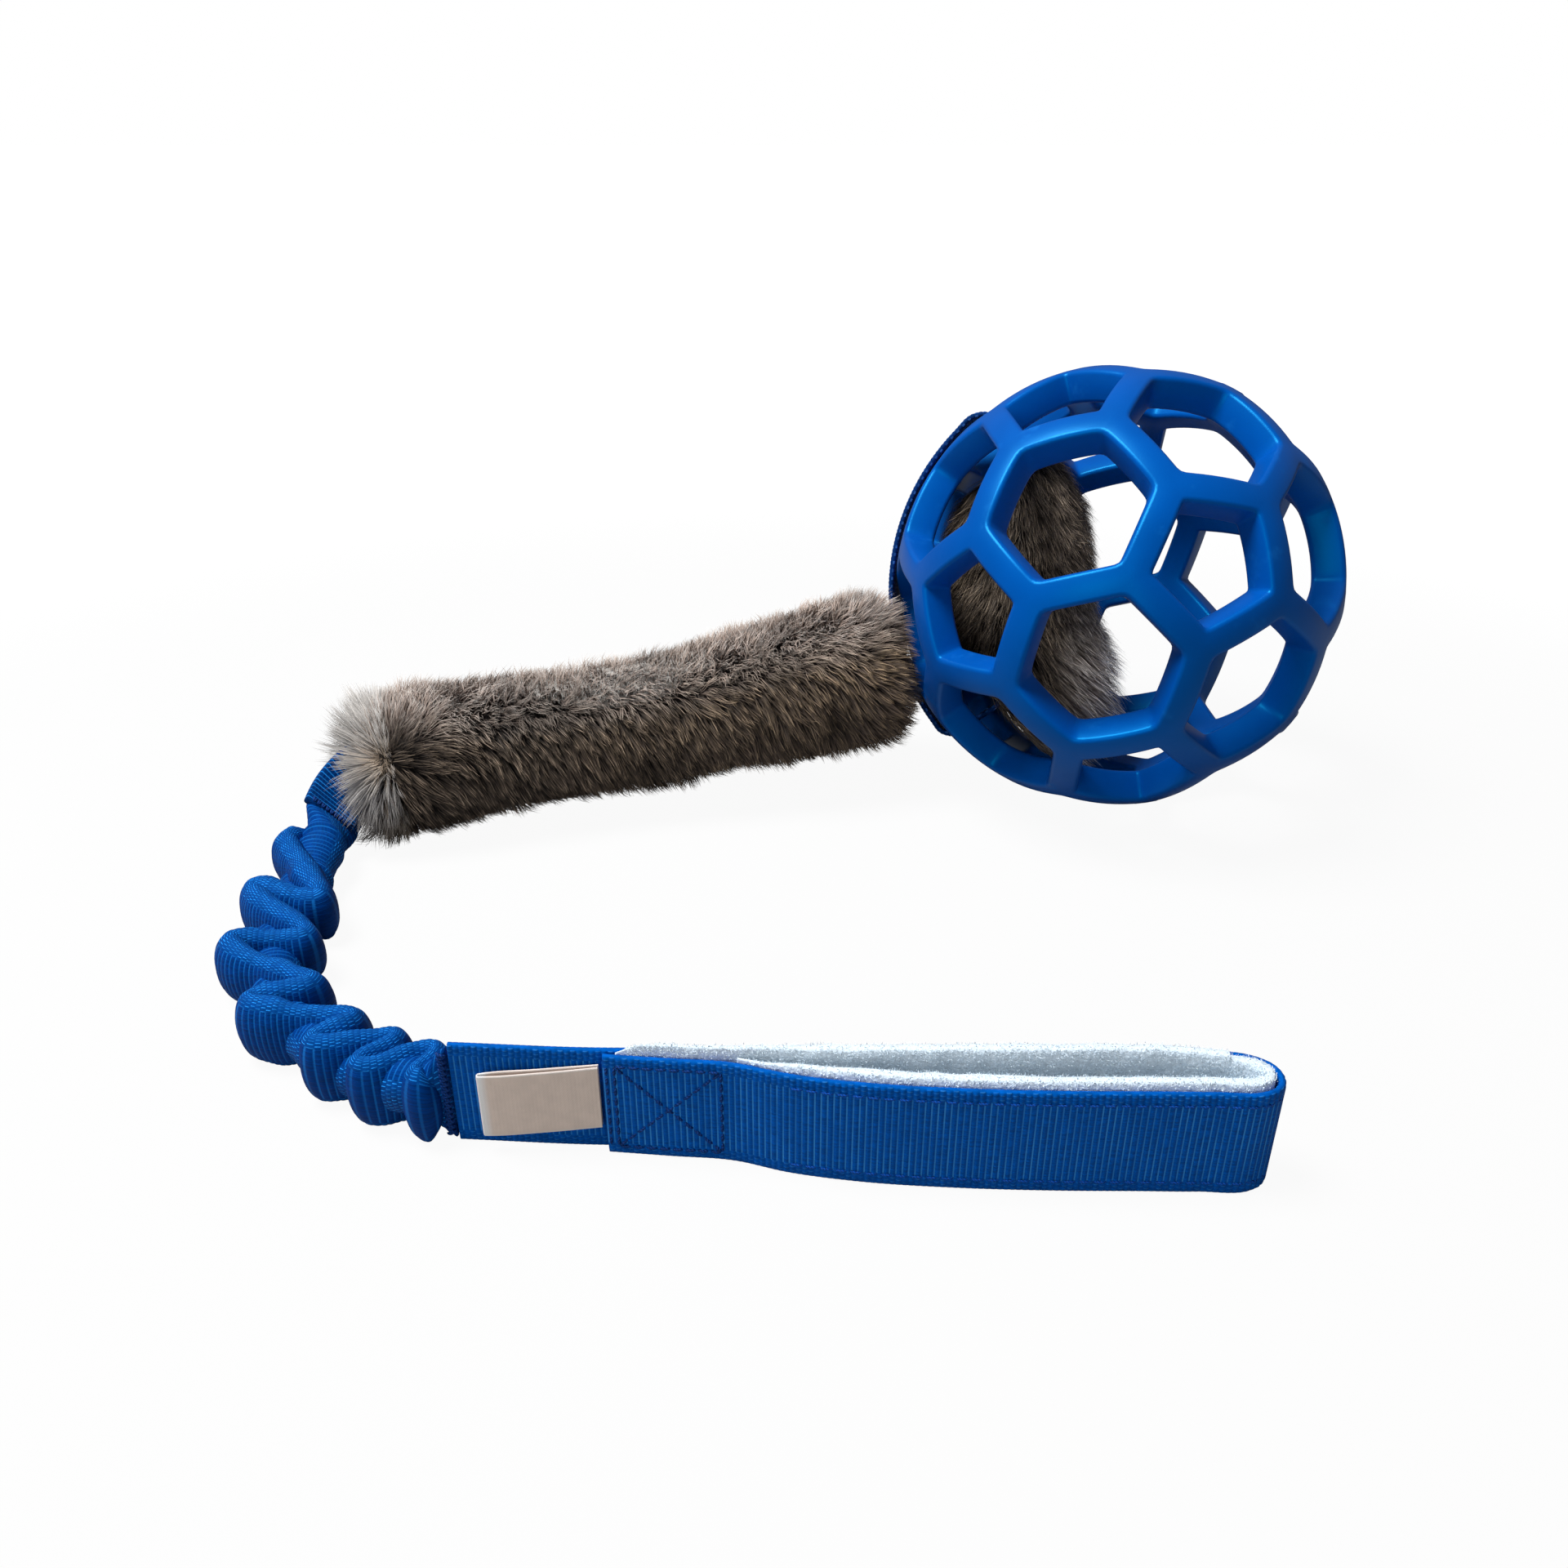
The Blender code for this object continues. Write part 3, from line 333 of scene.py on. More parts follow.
class Finish:
    """A material, whose nodes are made from the expressions that its pieces' finishes are written in."""

    def __init__(self, name, **shine):
        self.material = bpy.data.materials.new(name)
        self.material.use_nodes = True
        self.tree = self.material.node_tree
        self.shader = self.tree.nodes["Principled BSDF"]
        for socket, value in shine.items():
            self.shader.inputs[socket.replace("_", " ")].default_value = value

    def node(self, kind, settings=None, inputs=None, output=0):
        made = self.tree.nodes.new(kind)
        for key, value in (settings or {}).items():
            setattr(made, key, value)
        for key, value in (inputs or {}).items():
            self.join(value, made.inputs[key])
        return Signal(self, made.outputs[output])

    def join(self, value, socket):
        if isinstance(value, Signal):
            self.tree.links.new(value.socket, socket)
        elif isinstance(value, (tuple, list)) and len(value) == 3 and socket.type == "RGBA":
            socket.default_value = (*value, 1)
        else:
            socket.default_value = value

    def mix(self, factor, first, second):
        inputs = {"Factor": factor, 6: first, 7: second}
        return self.node("ShaderNodeMix", {"data_type": "RGBA"}, inputs, output=2)

    def noise(self, vector, scale, detail=2.0, roughness=0.5):
        inputs = {"Vector": vector, "Scale": scale, "Detail": detail, "Roughness": roughness}
        return self.node("ShaderNodeTexNoise", None, inputs, output="Fac")

    def place(self):
        return self.node("ShaderNodeTexCoord", None, None, output="Object")

    def cloth(self):
        """Where a point lies on its cloth, in metres: across it, and along it."""
        where = {"Vector": self.node("ShaderNodeUVMap", {"uv_map": "cloth"})}
        return [self.node("ShaderNodeSeparateXYZ", None, where, output=way) for way in "XY"]

    def point(self, x, y, z=0.0):
        return self.node("ShaderNodeCombineXYZ", None, {"X": x, "Y": y, "Z": z})

    def colour(self, value):
        self.join(value, self.shader.inputs["Base Color"])

    def rough(self, value):
        self.join(value, self.shader.inputs["Roughness"])

    def bump(self, height, distance, strength=1.0):
        inputs = {"Height": height, "Distance": distance, "Strength": strength}
        self.join(self.node("ShaderNodeBump", None, inputs), self.shader.inputs["Normal"])


def rubber_finish(toy):
    """Satin moulded rubber, a little uneven, with rubbed patches and faint dust."""
    finish = Finish("ball_rubber", IOR=1.5, Specular_IOR_Level=0.80, Specular_Tint=(0.0, 0.55, 1.0, 1))
    place = finish.place()
    cloudy = finish.noise(place, 38.0, 3.0)
    rubbed = finish.noise(place, 95.0, 4.0, 0.62).between(0.60, 0.76)
    fine = finish.noise(place, 2600.0, 2.0)
    body = finish.mix(cloudy.between(0.3, 0.7), toned(toy.ball.rubber, 0.86), tuple(toy.ball.rubber))
    finish.colour(finish.mix(rubbed * 0.35, body, tuple(toy.ball.scuff)))
    finish.rough(0.33 + cloudy * 0.10 + rubbed * 0.14)
    finish.bump(fine * 0.6 + cloudy * 0.8, 0.00012, 0.35)
    return finish.material


def toned(shade, share):
    return tuple(c * share for c in shade)


def webbing_finish(name, base, light, rib, edge, width, dots=0.0, line=0.6, dashed=0.0, hem=plain_hem_share):
    """Ribbed webbing: warp yarns over each rib, a light or dashed line in the groove, and a dotted edge, with a
    painted highlight on the edge zone where the hem share is above the plain one.
    """
    finish = Finish(name, Specular_IOR_Level=0.35, Specular_Tint=(0.0, 0.40, 1.0, 1))
    across, along = finish.cloth()
    groove = (abs((along / rib).fraction() - 0.5) * 2).between(0.66, 0.90)
    yarn = finish.noise(finish.point(across * 2600, along * 300), 1.0)
    patchy = finish.noise(finish.point(across * 60, along * 260), 1.0)
    spotty = finish.noise(finish.point(across * 350, along * 350), 1.0, 1.0)
    side = abs((across / width).fraction() - 0.5) * width
    selvedge = side.between(width / 2 - edge, width / 2 - edge * 0.85)
    stagger = (along / rib / 2).fraction().between(0.49, 0.51) * pi
    weft = (across * (tau / YARN_PITCH) + stagger).wave()
    beads = weft.between(0.58, 0.95) * (1 - groove)
    specks = beads * (0.35 + 0.65 * spotty.between(0.4, 0.6))
    dashes = 1 - dashed + dashed * weft.between(-0.35, 0.45)
    shown = groove * dashes * (0.55 + 0.45 * patchy.between(0.35, 0.65)) * line
    shade = finish.mix(yarn.between(0.25, 0.75), toned(base, 0.62), toned(base, 1.12))
    # Painted highlight: a hem share above the plain one lightens the edge zone, which on the ruched folds is
    # their tops, standing for light on the tops while the walls are in shade
    shade = finish.mix(selvedge * max(hem - plain_hem_share, 0) * 0.10, shade, light)
    shade = finish.mix(shown * (1 - selvedge), shade, light)
    finish.colour(finish.mix(specks * (selvedge * hem + dots), shade, light))
    finish.rough(0.55 + yarn * 0.22)
    finish.bump(yarn * 0.5 + beads * 0.5, 0.00018, 0.6)
    return finish.material


def hair_finish(name):
    """Hair that carries its own colour from its dark root to its tip."""
    finish = Finish(name, Roughness=0.55, Specular_IOR_Level=0.18)
    finish.colour(finish.node("ShaderNodeAttribute", {"attribute_name": "hair"}, None, output="Color"))
    return finish.material


def soft_finish(name, base, grain, size_share=1.0, sheen=0.3):
    """Matt soft stuff: hide, stuffing or fleece, mottled and grainy."""
    finish = Finish(name, Roughness=0.95, Specular_IOR_Level=0.1, Sheen_Weight=sheen, Sheen_Roughness=0.6)
    place = finish.place()
    mottle = finish.noise(place, 160.0 * size_share, 4.0, 0.6)
    curls = finish.noise(place, 1500.0 * size_share, 3.0, 0.6)
    tone = finish.mix(mottle.between(0.3, 0.7), toned(base, 0.93), base)
    finish.colour(finish.mix(curls.between(0.35, 0.6), toned(base, 0.88), tone))
    finish.bump(curls, grain, 0.8)
    return finish.material


def label_finish(toy):
    """Satin tape: fine woven lines along it, whiter at its fold and its selvedges."""
    finish = Finish("label_tape", Roughness=0.58, Sheen_Weight=0.15)
    across, along = finish.cloth()
    height, length = toy.label.height, toy.label.length
    weave = (across * (tau / 0.00032)).wave() * (along * (tau / 0.00040)).wave()
    fold = 1 - abs(along - length).between(0.0008, 0.0030)
    side = abs((across / height).fraction() - 0.5)
    hem = side.between(0.466, 0.474)
    mottle = finish.noise(finish.point(across * 300, along * 300), 1.0, 3.0)
    tape = finish.mix(mottle.between(0.3, 0.7), toned(toy.label.tape, 0.92), tuple(toy.label.tape))
    finish.colour(finish.mix(fold * 0.9 + hem * 0.35, tape, tuple(toy.label.edge)))
    finish.bump(weave * 0.5 + hem, 0.00006, 0.7)
    return finish.material


def thread_finish(name, base):
    """Twisted sewing thread, darker in the grooves of its twist as painted shade."""
    finish = Finish(name, Roughness=0.6, Specular_IOR_Level=0.2)
    across, along = finish.cloth()
    twist = ((along * (tau / 0.0007)) + across * (tau / 0.0011)).wave()
    # Painted shade: the colour darkens where the twist's bump is low
    finish.colour(finish.mix(twist.between(-1.0, 1.0), toned(base, 0.6), base))
    finish.bump(twist, 0.00008, 0.8)
    return finish.material


def smooth(points, steps):
    """Points of a smooth curve through the given ones, with a number of steps to each span."""
    spans = [(b - a).length for a, b in zip(points, points[1:])]
    ways = [(b - a) / length for a, b, length in zip(points, points[1:], spans)]
    slopes = [ways[0]]
    for (before, after), (way, onward) in zip(zip(spans, spans[1:]), zip(ways, ways[1:])):
        slopes.append((way * after + onward * before) / (before + after))
    slopes.append(ways[-1])
    found = []
    for start, end, length, leave, arrive in zip(points, points[1:], spans, slopes, slopes[1:]):
        for step in range(steps):
            t = step / steps
            rise = (3 - 2 * t) * t**2
            found.append(start.lerp(end, rise) + (leave * (1 - t) - arrive * t) * length * t * (1 - t))
    return [*found, points[-1].copy()]


def polar(radius, angle):
    return Vector((radius * cos(radians(angle)), radius * sin(radians(angle)), 0))


def turned(angles):
    return Euler([radians(a) for a in angles]).to_matrix().to_4x4()


def ramp(values, start, span):
    """0 up to the start, 1 past the span, and an even rise between them."""
    return np.clip((values - start) / span, 0, 1)


def eased(part):
    return part * part * (3 - 2 * part)


def squarer(wave, power):
    """A sine or cosine drawn towards a square wave, for an outline between round and square."""
    return np.sign(wave) * np.abs(wave) ** power


def unit(vectors):
    return vectors / np.maximum(np.linalg.norm(vectors, axis=-1, keepdims=True), 1e-12)


def lengths_along(points):
    steps = np.linalg.norm(np.diff(np.asarray(points, float), axis=0), axis=1)
    return np.concatenate(([0.0], np.cumsum(steps)))


def at_lengths(points, wanted):
    """The points of a route at lengths measured along it."""
    points = np.asarray(points, float)
    gone = lengths_along(points)
    return np.stack([np.interp(wanted, gone, points[:, i]) for i in range(3)], axis=-1)


def lefts(points):
    """The unit normal to the left of a route at each of its points, in the plane of X and Y."""
    way = np.gradient(points, axis=0)
    return unit(np.stack((-way[:, 1], way[:, 0], np.zeros(len(way))), axis=1))


def lumps(points, width, seed):
    """Smooth noise from -1 to 1 at each point, with lumps about as wide as asked."""
    table = np.random.default_rng(seed).uniform(-1, 1, 4096)
    cell = np.asarray(points) / width
    low = np.floor(cell).astype(int)
    part = eased(cell - low)
    total = 0.0
    for corner in np.ndindex(2, 2, 2):
        weight = np.prod(np.where(corner, part, 1 - part), axis=-1)
        total = total + weight * table[(low + corner) @ (73, 179, 1283) % len(table)]
    return total


def raw_mesh(name, points, corners, sides):
    """A mesh from its points, the corners of its faces in a row, and how many corners each face has."""
    mesh = bpy.data.meshes.new(name)
    mesh.vertices.add(len(points))
    mesh.vertices.foreach_set("co", np.asarray(points, np.float32).ravel())
    mesh.loops.add(len(corners))
    mesh.loops.foreach_set("vertex_index", np.asarray(corners, np.int32))
    mesh.polygons.add(len(sides))
    starts = np.concatenate(([0], np.cumsum(sides)[:-1]))
    mesh.polygons.foreach_set("loop_start", starts.astype(np.int32))
    mesh.update(calc_edges=True)
    mesh.shade_smooth()
    return mesh


def add_map(mesh, name, places):
    layer = mesh.uv_layers.new(name=name)
    layer.uv.foreach_set("vector", np.asarray(places, np.float32).ravel())


def swept(name, rings, across, along):
    """A closed skin over rings of points, with a map in metres: across, round each ring, and along them."""
    count, girth = rings.shape[:2]
    index = np.arange(count * girth).reshape(count, girth)
    after = np.roll(index, -1, axis=1)
    quads = np.stack((index[:-1], after[:-1], after[1:], index[1:]), axis=-1).reshape(-1, 4)
    points = rings.reshape(-1, 3)
    corner = points[quads] - points.mean(axis=0)
    volume = np.einsum("ij,ij->i", corner[:, 0], np.cross(corner[:, 1], corner[:, 2])).sum()
    ring_map = np.stack(np.meshgrid(np.arange(girth), np.arange(count - 1)), axis=-1).reshape(-1, 2)
    j, i = ring_map[:, 0], ring_map[:, 1]
    u = np.stack((across[j], across[j + 1], across[j + 1], across[j]), axis=1)
    v = np.stack((along[i], along[i], along[i + 1], along[i + 1]), axis=1)
    caps = np.concatenate((index[0][::-1], index[-1]))
    cap_u = np.concatenate((across[:girth][::-1], across[:girth]))
    cap_v = np.concatenate((np.full(girth, along[0]), np.full(girth, along[-1])))
    corners = np.concatenate((quads.ravel(), caps))
    places = np.stack((np.concatenate((u.ravel(), cap_u)), np.concatenate((v.ravel(), cap_v))), axis=1)
    sides = np.concatenate((np.full(len(quads), 4), (girth, girth)))
    if volume < 0:
        corners, places = corners[::-1], places[::-1]
        sides = sides[::-1]
    mesh = raw_mesh(name, points, corners, sides)
    add_map(mesh, "cloth", places)
    return mesh


def add_piece(name, mesh, finish, body=None, nodes=()):
    """A finished piece in place, which rides on its body and stands for the nodes that it covers."""
    piece = bpy.data.objects.new(name, mesh)
    bpy.context.scene.collection.objects.link(piece)
    mesh.materials.clear()
    mesh.materials.append(finish)
    if nodes:
        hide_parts(*nodes)
    if body:
        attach(piece, body)
    return piece


def moved(points, matrix):
    """An array of points taken to the world by a frame's matrix."""
    turn = np.array(matrix.to_3x3())
    return points @ turn.T + np.array(matrix.translation)


def webbing_rings(route, sides, up, width, thickness, rib, depth):
    """Rings round a strip of webbing, with a rounded edge and a rib every so often along it."""
    edge = np.array((1.0, 0.992, 0.965, 0.92, 0.78, 0.4))
    swell = np.array((0.0, 0.55, 0.88, 1.0, 1.0, 1.0))
    ribbed = np.array((0.0, 0.2, 0.6, 1.0, 1.0, 1.0))
    faces = [np.concatenate((half, [1.0], half[::-1])) for half in (swell, ribbed)]
    full, ribs = (np.concatenate((face, -face[1:-1][::-1])) for face in faces)
    high = np.concatenate((edge, [0.0], -edge[::-1]))
    high = np.concatenate((high, high[1:-1][::-1])) * width / 2
    along = lengths_along(route)
    groove = 1 - np.abs(np.sin(pi * along / rib)) ** 0.7
    deep = full[None] * thickness / 2 - ribs[None] * depth * groove[:, None]
    rings = route[:, None] + sides[:, None] * deep[..., None] + up[:, None] * high[None, :, None]
    half = len(full) // 2
    across = np.concatenate((width / 2 - high[: half + 1], width * 1.5 + high[half + 1 :], [width * 2]))
    return rings, across, along


def webbing_mesh(name, route, width, thickness, rib, depth, matrix=None):
    """Webbing that stands on its edge along a route in the plane of X and Y, rounded off at both ends."""
    total = lengths_along(route)[-1]
    points = at_lengths(route, np.linspace(0, total, max(8, round(total / rib * 5))))
    ups = np.broadcast_to((0.0, 0.0, 1.0), points.shape)
    rings, across, along = webbing_rings(points, lefts(points), ups, width, thickness, rib, depth)
    for end in (0, -1):
        rings[end] = points[end] + (rings[end] - points[end]) * 0.6
    if matrix:
        rings = moved(rings, matrix)
    return swept(name, rings, across, along)


def sewn(name, stitches, outward, radius, sag=0.45):
    """A row of stitches, each a short bowed length of thread between two points on the cloth."""
    sides, steps = 6, 6
    turn = np.linspace(0, tau, sides, endpoint=False)
    points, corners, count, places = [], [], 0, []
    grid = np.arange(sides * (steps + 1)).reshape(steps + 1, sides)
    after = np.roll(grid, -1, axis=1)
    quads = np.stack((grid[:-1], after[:-1], after[1:], grid[1:]), axis=-1).reshape(-1, 4)
    caps = np.concatenate((grid[0][::-1], grid[-1]))
    for number, (start, end) in enumerate(stitches):
        start, end = np.array(start, float), np.array(end, float)
        out = np.array(outward[number] if np.ndim(outward) > 1 else outward, float)
        way = unit(end - start)
        side = unit(np.cross(way, out))
        rise = unit(np.cross(side, way))
        for step in range(steps + 1):
            t = step / steps
            bow = sin(pi * t)
            middle = start + (end - start) * t + rise * radius * (bow - 1) * sag * 2
            thick = radius * (0.55 + 0.45 * bow**0.5)
            for angle in turn:
                points.append(middle + (side * cos(angle) + rise * sin(angle)) * thick)
        long = np.linalg.norm(end - start)
        for row in quads:
            places += [((c % sides) * radius, (c // sides) * long / steps) for c in row]
        places += [((c % sides) * radius, 0.0) for c in caps]
        corners.append(np.concatenate((quads.ravel(), caps)) + count)
        count += sides * (steps + 1)
    faces = np.tile(np.concatenate((np.full(len(quads), 4), (sides, sides))), len(corners))
    mesh = raw_mesh(name, points, np.concatenate(corners), faces)
    add_map(mesh, "cloth", places)
    bm = bmesh.new()
    bm.from_mesh(mesh)
    bmesh.ops.recalc_face_normals(bm, faces=bm.faces)
    bm.to_mesh(mesh)
    bm.free()
    return mesh


def zigzag(length, reach, stitches):
    """The corners of a zigzag of thread along X, reaching to both sides of it."""
    steps = range(stitches + 1)
    return [Vector((length * (i / stitches - 0.5), reach * (1 if i % 2 else -1), 0)) for i in steps]


def placed(origin, right, up):
    """The matrix of a frame whose X runs right and whose Y runs as near up as it can."""
    x = right.normalized()
    z = x.cross(up).normalized()
    y = z.cross(x)
    return Matrix.Translation(origin) @ Matrix((x, y, z)).transposed().to_4x4()


def pairs(points, matrix):
    points = [matrix @ p for p in points]
    return list(zip(points, points[1:]))


def tube_mesh(name, route, radii, sides, ripple=0.0, pitch=0.001):
    """A round tube along a route in the plane of X and Y, with a fine ripple along it."""
    along = lengths_along(route)
    turn = np.linspace(0, tau, sides, endpoint=False)
    left = lefts(route)
    up = np.array((0.0, 0.0, 1.0))
    wave = 1 + ripple * np.sin(tau * along / pitch)
    size_at = (np.broadcast_to(radii, along.shape) * wave)[:, None, None]
    rings = route[:, None] + size_at * (
        left[:, None] * np.cos(turn)[None, :, None] + up * np.sin(turn)[None, :, None]
    )
    across = np.append(turn, tau) * float(np.mean(radii))
    return swept(name, rings, across, along)


def comb(roots, normals, leans, lengths, bends, clump, pull, rng):
    """Points along each hair, which bends over towards its lean and is drawn to its clump's hair."""
    points = [roots]
    for bend in bends:
        way = normals * np.cos(bend)[:, None] + leans * np.sin(bend)[:, None]
        points.append(points[-1] + way * (lengths / len(bends))[:, None])
    points = np.stack(points, axis=1)
    leaders = rng.choice(len(roots), max(2, len(roots) // clump), replace=False)
    tree = KDTree(len(leaders))
    for i, leader in enumerate(leaders):
        tree.insert(roots[leader], i)
    tree.balance()
    leader_of = leaders[[tree.find(root)[1] for root in roots]]
    draw = np.linspace(0, 1, len(bends) + 1)[None, :, None] ** 1.3
    keen = rng.uniform(0.3, 1.0, len(roots))[:, None, None] * pull
    return points + (points[leader_of] - points) * draw * keen


def hair_mesh(name, points, normals, widths, shades, seed):
    """Flat tapering hairs over their points, with a colour at each, shaded as the coat that they make up."""
    rng = np.random.default_rng(seed)
    count, knots = points.shape[:2]
    ways = unit(np.gradient(points, axis=1))
    side = unit(np.cross(ways, normals[:, None]))
    side = unit(side + normals[:, None] * rng.normal(0, 0.25, (count, 1, 1)))
    taper = np.linspace(1, 0.45, knots - 1)[None, :, None]
    reach = side[:, :-1] * widths[:, None, None] * taper / 2
    pairs_of = np.stack((points[:, :-1] - reach, points[:, :-1] + reach), axis=2).reshape(count, -1, 3)
    verts = np.concatenate((pairs_of, points[:, -1:]), axis=1)
    each = verts.shape[1]
    face = []
    for k in range(knots - 2):
        face += [2 * k, 2 * k + 1, 2 * k + 3, 2 * k + 2]
    face += [each - 3, each - 2, each - 1]
    corners = (np.arange(count)[:, None] * each + np.array(face)[None]).ravel()
    sides = np.tile([4] * (knots - 2) + [3], count)
    mesh = raw_mesh(name, verts.reshape(-1, 3), corners, sides)
    tints = np.concatenate((np.repeat(shades[:, :-1], 2, axis=1), shades[:, -1:]), axis=1).reshape(-1, 3)
    layer = mesh.color_attributes.new("hair", "FLOAT_COLOR", "POINT")
    layer.data.foreach_set("color", np.concatenate((tints, np.ones((len(tints), 1))), axis=1).ravel())
    grid = int(np.ceil(count**0.5))
    cell = np.stack((np.arange(count) % grid, np.arange(count) // grid), axis=1)[:, None]
    spot = np.zeros((each, 2))
    spot[:-1, 0] = np.tile((0.12, 0.88), knots - 1)
    spot[:-1, 1] = np.repeat(np.linspace(0.12, 0.62, knots - 1), 2)
    spot[-1] = (0.5, 0.88)
    add_map(mesh, "OFBake", ((cell + spot[face][None]) / grid).reshape(-1, 2))
    facing = unit(np.cross(side, ways))
    shown = unit(facing * 0.45 + normals[:, None] * 0.75 + rng.normal(0, 0.16, (count, 1, 3)))
    lean = np.concatenate((np.repeat(shown[:, :-1], 2, axis=1), shown[:, -1:]), axis=1).reshape(-1, 3)
    mesh.normals_split_custom_set_from_vertices(lean.astype(np.float32))
    return mesh


def slumped(points):
    """Points of the tug, in its own frame, let down as the fur lies: below its strap, towards the viewer."""
    toy = bpy.context.scene.tug_toy
    part = np.clip(points[..., 2] / sleeve_length(), 0, 1) * (len(sag_shares) - 1)
    let_down = np.zeros_like(points)
    for axis, shares in ((0, np.negative(sag_shares)), (1, slump_shares)):
        let_down[..., axis] = np.interp(part, np.arange(len(shares)), shares) * toy.fur.radius
    return points + let_down


def sprinkled(profile, count, rng):
    """Places on a turned profile, spread evenly over its area: how far along, how far out, turn and slope."""
    profile = np.array(profile)
    spans = np.linalg.norm(np.diff(profile, axis=0), axis=1)
    area = spans * (profile[1:, 1] + profile[:-1, 1]) / 2
    span = rng.choice(len(spans), count, p=area / area.sum())
    part = rng.random(count)
    at = profile[span] + (profile[span + 1] - profile[span]) * part[:, None]
    slope = unit(profile[span + 1] - profile[span])
    return at[:, 0], at[:, 1], rng.uniform(0, tau, count), slope


def tug_frame():
    """The tug's frame at its neck end: X across it and up, Y towards the viewer, Z along it."""
    toy = bpy.context.scene.tug_toy
    up = Vector((0, 0, 1)) - tug_axis * tug_axis.z
    up.normalize()
    turn = Matrix((up, tug_axis.cross(up), tug_axis)).transposed().to_4x4()
    return Matrix.Translation(neck + tug_axis * toy.fur.standoff) @ turn


def sleeve_length():
    toy = bpy.context.scene.tug_toy
    return (mouth - neck).length - toy.fur.standoff - toy.fur.setback


def hide_profile():
    """The hide under the fur, as lengths along the tug and radii, smooth from end to end."""
    toy = bpy.context.scene.tug_toy
    points = [Vector((a * sleeve_length(), r * toy.fur.radius, 0)) for a, r in hide_shares]
    return [(p.x, p.y) for p in smooth(points, 5)]


def along_surface(leans, normals):
    return unit(leans - normals * np.einsum("ij,ij->i", leans, normals)[:, None])


def graded(ends, middle, root, tone, steps):
    """A hair's colours from its root over its middle to its tip."""
    shades = []
    for t in np.linspace(0, 1, steps):
        low = root + (middle - root) * min(1, t / 0.6)
        shades.append((low + (ends - low) * max(0, (t - 0.6) / 0.4)) * tone)
    return np.stack(shades, axis=1)


def tug_roots(count, rng, profile):
    """Places for hairs on the tug, their normals, and the ways onward, down and round at each."""
    along, out, turn, slope = sprinkled(profile, count, rng)
    x, y = np.cos(turn), np.sin(turn)
    roots = np.stack((out * x, out * y, along), axis=1)
    normals = np.stack((slope[:, 0] * x, slope[:, 0] * y, -slope[:, 1]), axis=1)
    round_it = np.stack((-y, x, np.zeros(count)), axis=1)
    onward = np.stack((slope[:, 1] * x, slope[:, 1] * y, slope[:, 0]), axis=1)
    return roots, normals, onward, round_it * y[:, None], round_it


def whorl_place(toy):
    turn = radians(toy.fur.whorl_degrees)
    out = np.interp(toy.fur.whorl_reach, *np.array(hide_profile()).T)
    return np.array((out * cos(turn), out * sin(turn), toy.fur.whorl_reach))


def tug_coat(count, length, width, knots, seed):
    """One layer of the tug's fur: the hairs' points, normals, widths and colours."""
    toy = bpy.context.scene.tug_toy
    rng = np.random.default_rng(seed)
    roots, normals, onward, down, cross = tug_roots(count, rng, hide_profile())
    out = np.linalg.norm(roots[:, :2], axis=1)
    height = roots[:, 0] / out
    top = ramp(height, 0.58, 0.36)
    away = roots - whorl_place(toy)
    far = np.linalg.norm(away, axis=1)
    ring = np.exp(-((far / 0.017) ** 3))[:, None]
    mouth_end = ramp(roots[:, 2], sleeve_length() - 0.016, 0.014)

    sway = lumps(roots, 0.011, seed + 1) + lumps(roots, 0.004, seed + 7) * 0.6
    leans = onward * (0.42 + 1.2 * mouth_end)[:, None] + down * 1.15 + cross * sway[:, None] * 0.55
    leans = leans * (1 - ring) + unit(away) * ring * 1.8
    leans += rng.normal(0, 1, leans.shape) * (0.17 + 0.35 * top)[:, None]
    leans = along_surface(leans, normals)

    lengths = length * rng.uniform(0.70, 1.15, count) * (1 + 0.20 * lumps(roots, 0.008, seed + 2))
    cap = np.clip(normals[:, 2], 0, 1)
    lengths *= 1 - 0.55 * cap * ramp(-out, -0.012, 0.006) - 0.25 * cap
    lengths *= 1 - 0.55 * np.exp(-((far / 0.004) ** 2))
    stand = 0.22 * lumps(roots, 0.007, seed + 3) + rng.normal(0, 0.12, count)
    stand += 0.7 * np.clip(-height - 0.45, 0, 1) - 0.22 * ramp(height, 0.25, 0.45) - 0.25 * mouth_end
    bends = [np.clip(bend + stand, 0.05, 1.5) for bend in np.linspace(0.55, 1.28, knots)]
    points = comb(roots, normals, leans, lengths, bends, 11, 0.78, rng)
    shades = coat_shades(toy, roots, height, top, away, knots, seed, rng)
    return points, normals, width * rng.uniform(0.7, 1.25, count), shades


